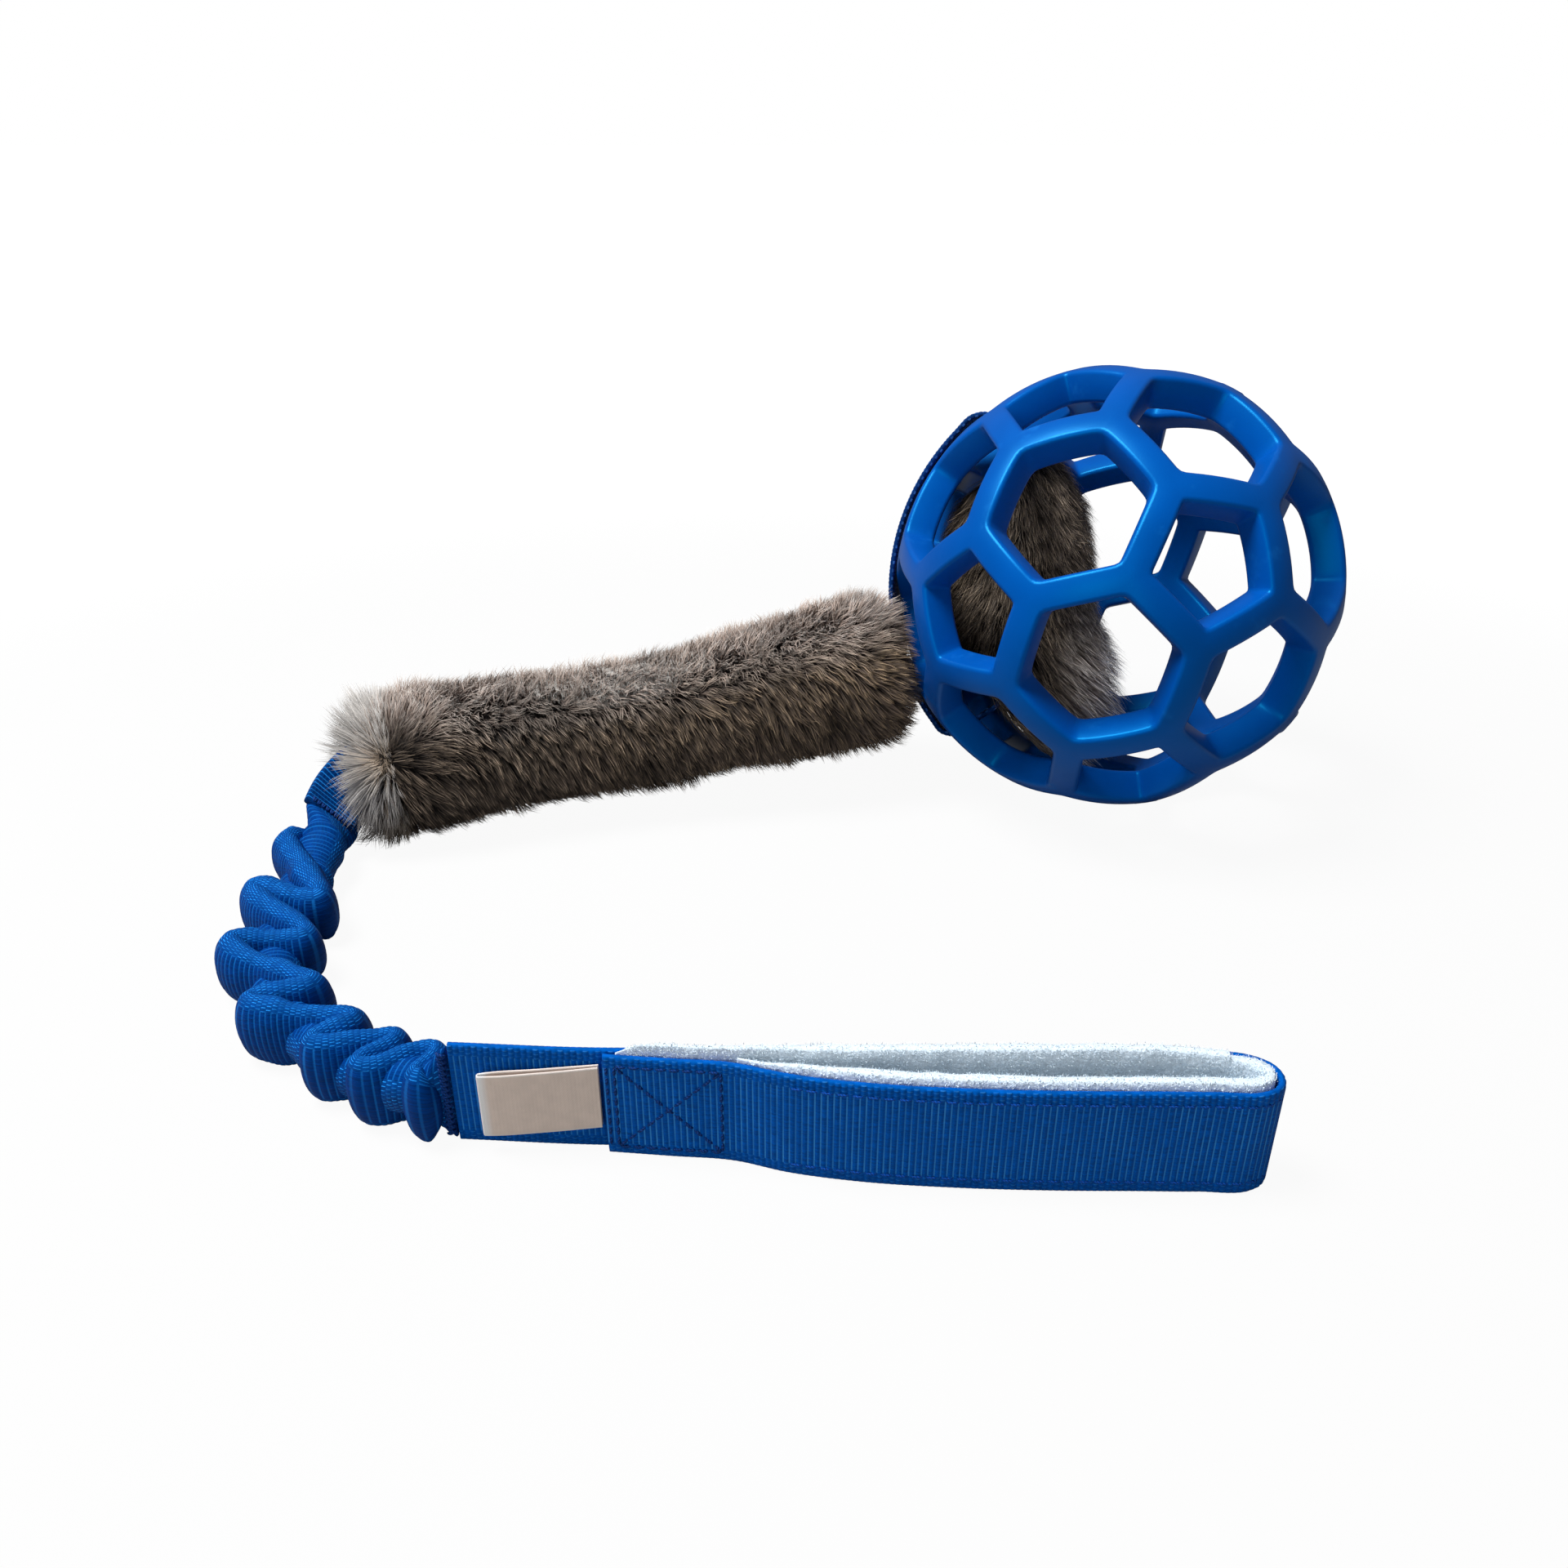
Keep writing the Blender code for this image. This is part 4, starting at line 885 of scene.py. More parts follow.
def coat_shades(toy, roots, height, top, away, knots, seed, rng):
    """The coat's colours: grey on top, partly the fur's own grey and partly painted light; golden towards the
    ball; painted shade below and a painted shadow beside the light whorl.
    """
    fur = toy.fur
    count = len(roots)
    crest = ramp(height, 0.05, 0.25) * ramp(-height, -0.80, 0.25)
    # Painted shade: the coat's underside, towards the floor, is darkened
    under = ramp(-height, 0.10, 0.5)
    golden = roots[:, 2] / sleeve_length() * 1.3 - 0.35 + 0.3 * lumps(roots, 0.02, 77)
    golden = np.clip(golden, 0, 1)
    warmth = np.outer(1 - golden, (1.0, 0.98, 1.0)) + np.outer(golden, (1.22, 1.10, 0.86))
    # Paler grey tips on top: partly the fur's own grey, partly painted light on the upper side
    ends = np.array(fur.tip) * warmth * (1 - top)[:, None] + np.array(fur.pale) * top[:, None]
    ends = ends * ((1 - 0.45 * under) * (1 + 0.35 * crest))[:, None]
    # Most hairs are lighter on top as well, the same painted light
    bright = np.where(rng.random(count) < 0.24, 2.1 - 0.3 * top, 0.60 + 0.9 * top)[:, None]
    # Middles and roots much lighter on top as painted light, and middles darker below as painted shade
    middle = np.array(fur.middle) * (0.64 + 5.1 * top + 2.3 * golden - 0.25 * under)[:, None]
    root = np.array(fur.root) * (0.9 + 4.0 * top + 0.8 * golden - 0.3 * crest)[:, None]
    heart = np.exp(-((np.linalg.norm(away, axis=1) / 0.0030) ** 2))[:, None]
    light = np.array(fur.heart) * 0.8 * heart
    ends, middle, root = (shade * (1 - heart) + light for shade in (ends, middle, root))
    tone = 1 + 0.34 * lumps(roots, 0.013, seed + 4) + 0.38 * lumps(roots, 0.0045, seed + 5)
    tone = (tone + rng.normal(0, 0.15, count)).clip(0.25, 1.9)
    shadow = np.exp(-(((away - np.array((0.004, 0.003, 0.006))) / 0.006) ** 2).sum(axis=1))
    return graded(ends * bright, middle, root, (tone * (1 - 0.70 * shadow))[:, None], knots + 1)


def neck_tuft(toy, seed):
    """Long pale hairs that fan out of the whorl at the neck end, with its light centre."""
    fur = toy.fur
    rng = np.random.default_rng(seed)
    count = fur.tuft
    end = [(along, out) for along, out in hide_profile() if along < 0.0035]
    roots, normals = tug_roots(count, rng, end)[:2]
    away = roots - whorl_place(toy)
    far = np.linalg.norm(away, axis=1)
    heart = np.exp(-((far / 0.0032) ** 2))
    leans = along_surface(unit(away) + rng.normal(0, 0.14, roots.shape), normals)
    facing = np.clip(-normals[:, 2], 0, 1)
    lengths = fur.tuft_hair * rng.uniform(0.55, 1.10, count) * (0.30 + 0.70 * facing)
    lengths *= (1 + 0.18 * lumps(roots, 0.005, seed + 2)) * (1 - 0.86 * heart)
    loose = rng.normal(0, 0.14, count) + 0.20 * lumps(roots, 0.004, seed + 3)
    loose += 0.35 * ramp(far, 0.001, 0.009) * (1 - heart)
    bends = [np.clip(bend + loose, 0.02, 1.45) for bend in (0.10, 0.30, 0.50, 0.62)]
    points = comb(roots, normals, leans, lengths, bends, 16, 0.75, rng)
    low = ramp(-roots[:, 0], -0.002, 0.012)[:, None]
    heart = heart[:, None]
    ends = np.array(fur.pale) * 1.55 * (1 - low) + np.array(fur.tip) * 0.75 * 1.3 * low
    ends = ends * (1 - heart) + np.array(fur.heart) * heart
    middle = ends * (0.61 + 0.39 * heart) * (1 - 0.35 * low)
    root = ends * (0.33 + 0.57 * heart) * (1 - 0.4 * low)
    tone = (1 + 0.25 * lumps(roots, 0.003, seed + 4) + rng.normal(0, 0.18, count)).clip(0.4, 1.6)[:, None]
    widths = fur.hair_width * 0.75 * rng.uniform(0.7, 1.2, count)
    return points, normals, widths, graded(ends, middle, root, tone, 5)


def to_world(points, normals, matrix):
    turn = np.array(matrix.to_3x3())
    return moved(points, matrix), normals @ turn.T


def lifted(points):
    """Hairs that lie on the floor instead of going through it."""
    depth = FLOOR_GAP - points[..., 2]
    points[..., 2] = np.where(depth > 0, FLOOR_GAP + depth * 0.05, points[..., 2])
    return points


def lattice_mesh(toy):
    """The ball's football lattice, with eased window corners, as an open strip along every edge."""
    ball = toy.ball
    bm = bmesh.new()
    bmesh.ops.create_icosphere(bm, subdivisions=1, radius=ball.radius)
    bm.edges.ensure_lookup_table()
    edge = bm.edges[0].calc_length()
    corners = {"geom": bm.verts[:] + bm.edges[:], "offset": edge / 3, "offset_type": "OFFSET"}
    bmesh.ops.bevel(bm, **corners, segments=1, affect="VERTICES")
    bmesh.ops.subdivide_edges(bm, edges=bm.edges[:], cuts=9)
    for vert in bm.verts:
        vert.co = vert.co.normalized() * ball.radius
    windows = bm.faces[:]
    bmesh.ops.inset_individual(bm, faces=windows, thickness=ball.strut / 2, use_even_offset=True)
    for window in windows:
        ring = list(window.verts)
        for _ in range(ball.rounding):
            sides = zip(ring[-1:] + ring[:-1], ring, ring[1:] + ring[:1])
            places = [(a.co + b.co * 2 + c.co) / 4 for a, b, c in sides]
            for vert, place in zip(ring, places):
                vert.co = place
    bmesh.ops.delete(bm, geom=windows, context="FACES")
    for vert in bm.verts:
        vert.co = vert.co.normalized() * ball.radius
    mesh = bpy.data.meshes.new("ball_lattice_fine")
    bm.to_mesh(mesh)
    bm.free()
    mesh.shade_smooth()
    return mesh


class TOY_OT_ball(bpy.types.Operator):
    """Makes the moulded rubber lattice ball"""

    bl_idname = "tug_toy.ball"
    bl_label = "Lattice Ball"

    def execute(self, context):
        toy = context.scene.tug_toy
        mesh = lattice_mesh(toy)
        mesh.transform(Matrix.Translation(ball_centre) @ turned(BALL_TURN_DEGREES))
        ball = add_piece("lattice_ball", mesh, rubber_finish(toy))
        wall = ball.modifiers.new("wall", "SOLIDIFY")
        wall.thickness = toy.ball.wall
        wall.offset = -1
        rim = ball.modifiers.new("rim", "BEVEL")
        rim.width = toy.ball.rim
        rim.segments = 3
        rim.limit_method = "ANGLE"
        rim.angle_limit = radians(50)
        graph = context.evaluated_depsgraph_get()
        final = bpy.data.meshes.new_from_object(ball.evaluated_get(graph))
        ball.modifiers.clear()
        ball.data = final
        final.name = "lattice_ball"
        final.shade_smooth()
        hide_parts("ball_lattice")
        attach(ball, "ball")
        return {"FINISHED"}


def loop_route(toy):
    """The middle line of the loop in its own plane, from the mouth through the ball and back."""
    loop, radius = toy.loop, toy.ball.radius
    hug = radius + loop.play + loop.thickness / 2
    end = hug + loop.thickness / 2 + loop.nose
    half = (loop.thickness + SEAT_GAP) / 2
    turn = degrees((half + loop.thickness * 1.3) / hug)
    ends = degrees(half / end)
    upper = [polar(end, MOUTH_DEGREES - ends), polar(hug + loop.thickness, MOUTH_DEGREES - ends * 1.15)]
    upper += [polar(hug, a) for a in np.linspace(MOUTH_DEGREES - turn, LOOP_IN_DEGREES, 13)]
    inner = [polar(radius * r, LOOP_IN_DEGREES + a) for r, a in loop_entry_shares + loop_inside_shares]
    inner += [polar(radius * r, LOOP_OUT_DEGREES + a) for r, a in loop_exit_shares]
    lower = [polar(hug, a) for a in np.linspace(LOOP_OUT_DEGREES, MOUTH_DEGREES + turn, 7)]
    lower += [polar(hug + loop.thickness, MOUTH_DEGREES + ends * 1.15), polar(end, MOUTH_DEGREES + ends)]
    return np.array(smooth(upper + inner + lower, 12))


def loop_place(toy):
    aside = Matrix.Translation((0, 0, toy.loop.shift))
    return Matrix.Translation(ball_centre) @ turned(LOOP_TURN_DEGREES) @ aside


class TOY_OT_ball_loop(bpy.types.Operator):
    """Makes the dark webbing loop, the fur roll on it and the roll's tacks"""

    bl_idname = "tug_toy.ball_loop"
    bl_label = "Ball Loop"

    def execute(self, context):
        toy = context.scene.tug_toy
        loop = toy.loop
        place = loop_place(toy)
        route = loop_route(toy)
        base, light = tuple(loop.webbing), tuple(loop.speck)
        finish = webbing_finish("loop_webbing_yarn", base, light, LOOP_RIB, 0.004, loop.width, 0.55, 0.35)
        ribs = (LOOP_RIB, LOOP_RIB_DEPTH)
        mesh = webbing_mesh("ball_loop_webbing", route, loop.width, loop.thickness, *ribs, place)
        add_piece("ball_loop_webbing", mesh, finish, "ball_loop", ["loop_webbing"])
        inside = (toy.ball.radius - toy.ball.wall) * 0.86
        run = route[np.linalg.norm(route, axis=1) < inside]
        self.add_roll(toy, place, run)
        self.add_tacks(toy, place, run)
        return {"FINISHED"}

    def add_roll(self, toy, place, run):
        """The roll's hide, a tube that swells along the run and is drawn in at both ends."""
        count = 70
        line = at_lengths(run, np.linspace(0, lengths_along(run)[-1], count))
        part = np.linspace(0, 1, count)
        knots = np.linspace(0, 1, len(roll_radius_shares))
        girth = np.interp(part, knots, roll_radius_shares) * toy.loop.roll
        ends = np.sqrt(np.clip(1 - (np.abs(part * 2 - 1) ** 6), 0.02, 1))
        radii = (girth - toy.fur.hair * 0.42) * ends
        mesh = tube_mesh("loop_fur_hide", line, radii, 40)
        mesh.transform(place)
        finish = soft_finish("roll_hide", tuple(toy.fur.hide), 0.0003)
        add_piece("loop_fur_hide", mesh, finish, "ball_loop", ["loop_fur"])
        self.add_roll_coat(toy, place, line, radii)

    def roll_roots(self, place, line, radii, hairs, rng):
        """Places for hairs on the roll, their normals, and the way along the roll at each."""
        spot = rng.uniform(0, 1, hairs) * (len(line) - 1)
        turn = rng.uniform(0, tau, hairs)
        steps = np.arange(len(line))
        centre, sides = (
            np.stack([np.interp(spot, steps, values[:, i]) for i in range(3)], axis=1)
            for values in (line, lefts(line))
        )
        sides = unit(sides)
        up = np.broadcast_to((0.0, 0.0, 1.0), sides.shape)
        normals = sides * np.cos(turn)[:, None] + up * np.sin(turn)[:, None]
        roots = centre + normals * np.interp(spot, steps, radii)[:, None]
        onward = np.cross(sides, up) @ np.array(place.to_3x3()).T
        return *to_world(roots, normals, place), onward

    def add_roll_coat(self, toy, place, line, radii):
        """The roll's fur, which falls to the lower right and is kept inside the lattice, with painted shade on
        its left side deep in the ball.
        """
        fur, hairs = toy.fur, toy.loop.roll_hairs
        rng = np.random.default_rng(31)
        roots, normals, onward = self.roll_roots(place, line, radii, hairs, rng)
        middle = np.array(ball_centre)
        from_middle = roots - middle
        leftward = ramp(-from_middle[:, 0], 0.016, 0.012)
        bottom = ramp(-from_middle[:, 2], 0.004, 0.030)
        leans = onward * 0.5 + np.array((0.25, -0.1, -1.0)) * 0.8 + rng.normal(0, 0.35, roots.shape)
        leans[:, 0] += 1.7 * bottom
        leans = along_surface(leans, normals)
        lengths = fur.hair * rng.uniform(0.7, 1.15, hairs) * (0.95 + 0.9 * leftward + 1.5 * bottom)
        stand = rng.normal(0, 0.14, hairs) - 0.30 * leftward - 0.40 * bottom
        bends = [np.clip(bend + stand, 0.1, 1.5) for bend in (0.45, 0.8, 1.15)]
        away = comb(roots, normals, leans, lengths, bends, 12, 0.7, rng) - middle
        reach = np.linalg.norm(away, axis=-1, keepdims=True)
        limit = toy.ball.radius - toy.ball.wall - 4 * SEAT_GAP
        points = middle + away * np.minimum(1, limit / np.maximum(reach, 1e-9))

        grey = np.clip(normals[:, 0] * 1.6 + lumps(roots, 0.01, 3) * 0.3, 0, 1)
        grey = (grey * np.clip(0.35 - from_middle[:, 2] / 0.02, 0.05, 1.2))[:, None]
        ends = np.array(fur.tip) * 1.3 * (1 - grey) + np.array(fur.pale) * 2.6 * grey
        # Painted shade: tips and middles darkened on the roll's left side, deep inside the ball
        ends = ends * (1 - 0.55 * leftward)[:, None]
        ends = ends * np.where(rng.random(hairs) < 0.28, 2.4, 0.75)[:, None]
        middles = np.array(fur.middle) * (0.8 + 4.2 * grey) * (1 - 0.45 * leftward)[:, None]
        root = np.array(fur.root) * (1 + 9 * grey)
        tone = 1 + 0.30 * lumps(roots, 0.008, 5) + 0.35 * lumps(roots, 0.004, 5)
        tone = (tone + rng.normal(0, 0.15, hairs)).clip(0.3, 1.8)[:, None]
        shades = graded(ends, middles, root, tone, 4)
        widths = fur.hair_width * rng.uniform(0.8, 1.2, hairs)
        mesh = hair_mesh("loop_fur_coat", points, normals, widths, shades, 5)
        add_piece("loop_fur_coat", mesh, hair_finish("roll_hair"), "ball_loop")

    def add_tacks(self, toy, place, run):
        """The zigzags of thread that hold the roll to the loop at both ends of the run."""
        loop = toy.loop
        finish = thread_finish("loop_thread", tuple(loop.speck))
        for name, end, inner, sign in (("upper", 0, 2, 1), ("lower", -1, -3, -1)):
            at, near = Vector(run[end]), Vector(run[inner])
            way = (at - near).normalized()
            side = Vector((-way.y, way.x, 0)) * (loop.thickness / 2 + THREAD / 2) * sign
            corner = placed(at + way * 5 * THREAD + side, Vector((0, 0, 1)), way)
            stitches = pairs(zigzag(loop.width - 4 * THREAD, THREAD, 18), place @ corner)
            out = (place.to_3x3() @ side).normalized()
            mesh = sewn(f"roll_tack_{name}", stitches, out, THREAD / 2)
            add_piece(f"roll_tack_{name}", mesh, finish, "ball_loop", [f"loop_fur_tack_{name}"])


class TOY_OT_tug(bpy.types.Operator):
    """Makes the fur tug: its hide, coat, down, stuffing, inner strap and seams"""

    bl_idname = "tug_toy.tug"
    bl_label = "Fur Tug"

    def execute(self, context):
        toy = context.scene.tug_toy
        place = tug_frame()
        self.add_hide(toy, place)
        self.add_fur(toy, place)
        self.add_stuffing(place)
        far_end = self.add_strap(toy, place)
        self.add_threads(place)
        self.add_strap_tack(toy, *far_end)
        return {"FINISHED"}

    def add_hide(self, toy, place):
        """The hide under the fur: a turned profile, a little lumpy, let down and flat where it lies."""
        profile = np.array(hide_profile())
        turn = np.linspace(0, tau, 48, endpoint=False)
        along, out = profile[:, :1], profile[:, 1:]
        rings = (out * np.cos(turn), out * np.sin(turn), np.repeat(along, len(turn), axis=1))
        rings = np.stack(rings, axis=-1)
        rings[..., :2] *= (1 + 0.03 * lumps(rings, 0.012, 2))[..., None]
        rings = moved(slumped(rings), place)
        rings[..., 2] = np.maximum(rings[..., 2], 3 * FLOOR_GAP)
        across = np.append(turn, tau) * toy.fur.radius
        mesh = swept("fur_sleeve_hide", rings, across, lengths_along(profile))
        finish = soft_finish("tug_hide", tuple(toy.fur.hide), 0.0003)
        piece = add_piece("fur_sleeve_hide", mesh, finish, "tug", ["fur_sleeve"])

    def add_fur(self, toy, place):
        """Three layers of hair: a long coat, a short down darkened as painted shade in the coat's gaps, and the
        tuft at the neck end.
        """
        fur = toy.fur
        finish = hair_finish("tug_hair")
        layers = {
            "fur_sleeve_coat": tug_coat(fur.coat, fur.hair, fur.hair_width, 3, 11),
            "fur_sleeve_down": tug_coat(fur.down, fur.hair * 0.74, fur.hair_width * 1.25, 2, 21),
            "fur_sleeve_tuft": neck_tuft(toy, 41),
        }
        for seed, (name, (points, normals, widths, shades)) in enumerate(layers.items()):
            points, normals = to_world(slumped(points), normals, place)
            # Painted shade: the down is darkened so that the gaps in the coat look dark
            if name == "fur_sleeve_down":
                shades = shades * 0.55
            mesh = hair_mesh(name, lifted(points), normals, widths, shades, seed)
            add_piece(name, mesh, finish, "tug")

    def add_stuffing(self, place):
        part = np.linspace(0.01, 0.97, 90)
        line = np.stack((part * sleeve_length(), part * 0, part * 0), axis=1)
        round_off = np.sqrt(np.clip(1 - np.abs(part * 2 - 1) ** 12, 0.05, 1))
        mesh = tube_mesh("stuffing", line, STUFFING_RADIUS * round_off, 36)
        points = np.empty(len(mesh.vertices) * 3, np.float32)
        mesh.vertices.foreach_get("co", points)
        points = points.reshape(-1, 3)
        points[:, 1:] *= (1 + 0.05 * lumps(points, 0.006, 9))[:, None]
        mesh.vertices.foreach_set("co", points.ravel())
        mesh.transform(place @ Matrix.Rotation(-pi / 2, 4, "Y"))
        filling = soft_finish("stuffing_fibre", (0.55, 0.53, 0.50), 0.0004)
        piece = add_piece("stuffing", mesh, filling, "tug", ["core_padding"])

    def add_strap(self, toy, place):
        """The strap that carries the pull, twisted from upright at the neck to the loop's way.

        Its far end is returned: the middle, the way out of its flat side and the way over its width.
        """
        reach = (mouth - neck).length - 4 * SEAT_GAP
        along = np.linspace(6 * SEAT_GAP, reach, 500)
        up, near = (Vector((place[0][i], place[1][i], place[2][i])) for i in (0, 1))
        at_mouth = Vector(joints["loop_swing"]["axis"])
        final = atan2(at_mouth.dot(near), at_mouth.dot(up))
        twist = (final * np.clip(along / reach / 0.8, 0, 1))[:, None]
        ups = np.cos(twist) * np.array(up) + np.sin(twist) * np.array(near)
        sides = np.cross(ups, np.array(tug_axis))
        route = np.array(neck) + along[:, None] * np.array(tug_axis)
        width, rib = toy.loop.width - 0.0004, toy.strap.rib
        strip = webbing_rings(route, sides, ups, width, TUG_STRAP_THICKNESS, rib, SMOOTH_RIB_DEPTH)
        base, light = tuple(toy.strap.webbing), tuple(toy.strap.line)
        finish = webbing_finish("tug_strap_yarn", base, light, rib, 0.0035, toy.loop.width)
        add_piece("tug_strap", swept("tug_strap", *strip), finish, "tug", ["core_webbing"])
        return Vector(route[-1]), Vector(sides[-1]), Vector(ups[-1])

    def add_strap_tack(self, toy, end, side, up):
        """The zigzag of thread through the strap's doubled ball end."""
        inward, outward = 0.016, 0.0025
        corner = placed(end - tug_axis * inward + side * outward, up, tug_axis)
        mesh = sewn("strap_tack", pairs(zigzag(0.0118, 0.0022, 14), corner), side, THREAD / 2)
        finish = thread_finish("blue_thread_twist", tuple(toy.strap.line))
        add_piece("strap_tack", mesh, finish, "tug", ["core_stitch"])

    def add_threads(self, place):
        """The gathers that close the sleeve at both ends, and the seam along it."""
        length = sleeve_length()
        pale = thread_finish("pale_thread_twist", (0.50, 0.45, 0.38))
        for name, node, radius, height, sign in (
            ("neck_gather", "neck_end_gather", NECK_GATHER_RADIUS, -GATHER_STANDOFF, -1),
            ("mouth_gather", "ball_end_gather", MOUTH_GATHER_RADIUS, length + GATHER_STANDOFF, 1),
        ):
            ring = [polar(radius, angle) + Vector((0, 0, height)) for angle in np.linspace(0, 360, 37)]
            mesh = sewn(name, pairs(ring, place), tug_axis * sign, THREAD / 2)
            add_piece(name, mesh, pale, "tug", [node])
        stitches, inset = 32, 0.011
        steps = [inset + (length - inset * 2) * i / stitches for i in range(stitches + 1)]
        seam = [Vector((SEAM_RADIUS, 0.0006 * (1 if i % 2 else -1), step)) for i, step in enumerate(steps)]
        turn = place @ Matrix.Rotation(radians(SEAM_TURN_DEGREES), 4, "Z")
        out = (turn.to_3x3() @ Vector((1, 0, 0))).normalized()
        mesh = sewn("sleeve_seam_thread", pairs(seam, turn), out, THREAD / 2)
        add_piece("sleeve_seam_thread", mesh, pale, "tug", ["sleeve_seam"])


def bungee_route(toy):
    """The way of the neck and the elastic section on the floor, from the tug's neck to the hand strap."""
    across = Vector((neck.x - tail.x, neck.y - tail.y, 0))
    out = across.normalized() * toy.elastic.chord
    aside = Vector((-out.y, out.x, 0))
    start = Vector((tail.x, tail.y, 0))
    return np.array(smooth([start + out * a + aside * b for a, b in bungee_route_shares], 16)[::-1])


def neck_lean(toy, travelled):
    """How far the flat webbing leans over, from upright at the tug to its full lean past the fur."""
    return radians(toy.elastic.lean) * eased(ramp(travelled, 0, 0.016))


def ruched_reach(toy, route):
    """How far along the route the ruched webbing starts and ends."""
    return toy.elastic.neck_length - 0.012, lengths_along(route)[-1] + 0.0003


def stretching(piece):
    """Bakes the place of a piece of the elastic section into its mesh, all of them alike."""
    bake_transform(piece)


def core_height(toy, part):
    """Height of the elastic's middle line over the floor: lowest in the bend, where it lies flattest."""
    high = toy.elastic.radius
    return np.interp(part, (0.12, 0.28, 0.60, 0.85, 0.97), (high, 0.0066, 0.0068, 0.0080, high))


def sleeve_rings(toy, route):
    """Rings of the webbing pulled in round its elastic: flat at the neck and flat again on the strap."""
    elastic = toy.elastic
    total = lengths_along(route)[-1]
    first, last = ruched_reach(toy, route)
    place = np.linspace(first, last, round((last - first) / toy.strap.rib * 4.6))
    turn = np.linspace(0, tau, 64, endpoint=False)[None]
    part = (place / total)[:, None]
    start = eased(ramp(place, first + 0.004, 0.012))[:, None]
    end = eased(ramp(-place, -last, 0.006))[:, None]
    tall = 0.0085 + (np.interp(part, (0.4, 0.8), (0.0058, 0.0066)) - 0.0085) * start
    slim = 0.0024 + (np.interp(part, (0.4, 0.8), (0.0062, 0.0055)) - 0.0024) * start
    tall = tall * end + 0.0119 * (1 - end)
    slim = slim * end + 0.0012 * (1 - end)
    ribs = 0.00018 * (np.abs(np.sin(pi * place / toy.strap.rib)) ** 0.7 - 1)[:, None]
    ribs = ribs + 0.0004 * np.sin(place * 900 + 2 * np.sin(place * 400))[:, None] * start * end
    leaning = (neck_lean(toy, place)[:, None] * (1 - start))[..., None]
    line = at_lengths(route, place)
    sides = lefts(line)[:, None]
    up = np.array((0.0, 0.0, 1.0))
    wide = sides * np.cos(leaning) + up * np.sin(leaning)
    high = up * np.cos(leaning) - sides * np.sin(leaning)
    drop = ramp(-place, -first - 0.010, 0.010)
    line[:, 2] = core_height(toy, place / total) + drop**2 * (neck.z - elastic.radius) * 0.12
    rings = line[:, None] + wide * ((slim + ribs) * np.sin(turn))[..., None]
    rings = rings + high * ((tall + ribs) * np.cos(turn))[..., None]
    rings[..., 2] = np.maximum(rings[..., 2], 0.0005)
    return rings, place


def fold_line(toy, route):
    """The way of the folds: from one side of the elastic over to its other side and back, on and on."""
    gone = lengths_along(route)
    left = lefts(route)
    places, aside = np.transpose(fold_shares) * [[gone[-1]], [toy.elastic.radius]]
    sides = unit(np.stack([np.interp(places, gone, left[:, i]) for i in range(3)], axis=-1))
    spots = at_lengths(route, places) + sides * aside[:, None]
    ways = np.stack((sides[:, 1], -sides[:, 0], sides[:, 2]), axis=-1)
    pull = 0.006 + 0.012 * np.abs(aside)[:, None] / toy.elastic.radius
    pulls = ways * pull
    t = np.linspace(0, 1, 40, endpoint=False)[:, None]
    rise = eased(t)
    found = []
    for start, end, leave, arrive in zip(spots, spots[1:], pulls, pulls[1:]):
        found.append(start * (1 - rise) + end * rise + t * (1 - t) * (leave * (1 - t) - arrive * t))
    return np.concatenate(found + [spots[-1:]])


def fold_rings(toy, route):
    """Rings of the folded webbing, which stands on its edge and winds from side to side over the elastic."""
    line = fold_line(toy, route)
    gone = lengths_along(line)
    along = np.linspace(0, gone[-1], round(gone[-1] / toy.strap.rib * 4.4))
    line = at_lengths(line, along)
    part = np.linspace(0, 1, len(along))
    taper = np.maximum(ramp(along, 0, 0.010), 0.30) * np.maximum(ramp(-along, -along[-1], 0.005), 0.5)
    tall = np.interp(part, (0.0, 0.4, 0.75, 1.0), (0.0074, 0.0080, 0.0086, 0.0092))
    thick = toy.elastic.fold * np.interp(part, (0.0, 0.5, 0.75, 1.0), (0.66, 0.68, 0.56, 0.50)) * taper
    turn = np.linspace(0, tau, 40, endpoint=False)[None]
    flat = np.sin(turn)
    round_top = squarer(np.cos(turn), 0.92)
    ribs = 0.00012 * (np.abs(np.sin(pi * along / toy.strap.rib))[:, None] ** 0.7 - 1)
    left = lefts(line)[:, None]
    line[:, 2] = tall + 2 * SEAT_GAP
    spots = line[:, None] + left * ((thick[:, None] + ribs) * flat)[..., None]
    swell = lumps(spots, 0.009, 5) * 0.0009 + lumps(spots, 0.004, 6) * 0.0004 + ribs
    rings = spots + left * (flat * swell)[..., None]
    rings[..., 2] += ((tall * taper)[:, None] + swell) * round_top
    rings[..., 2] = np.maximum(rings[..., 2], FLOOR_GAP)
    return rings, along


def together(name, meshes):
    """One mesh of several."""
    work = bmesh.new()
    for mesh in meshes:
        work.from_mesh(mesh)
    whole = bpy.data.meshes.new(name)
    work.to_mesh(whole)
    work.free()
    for mesh in meshes:
        bpy.data.meshes.remove(mesh)
    return whole


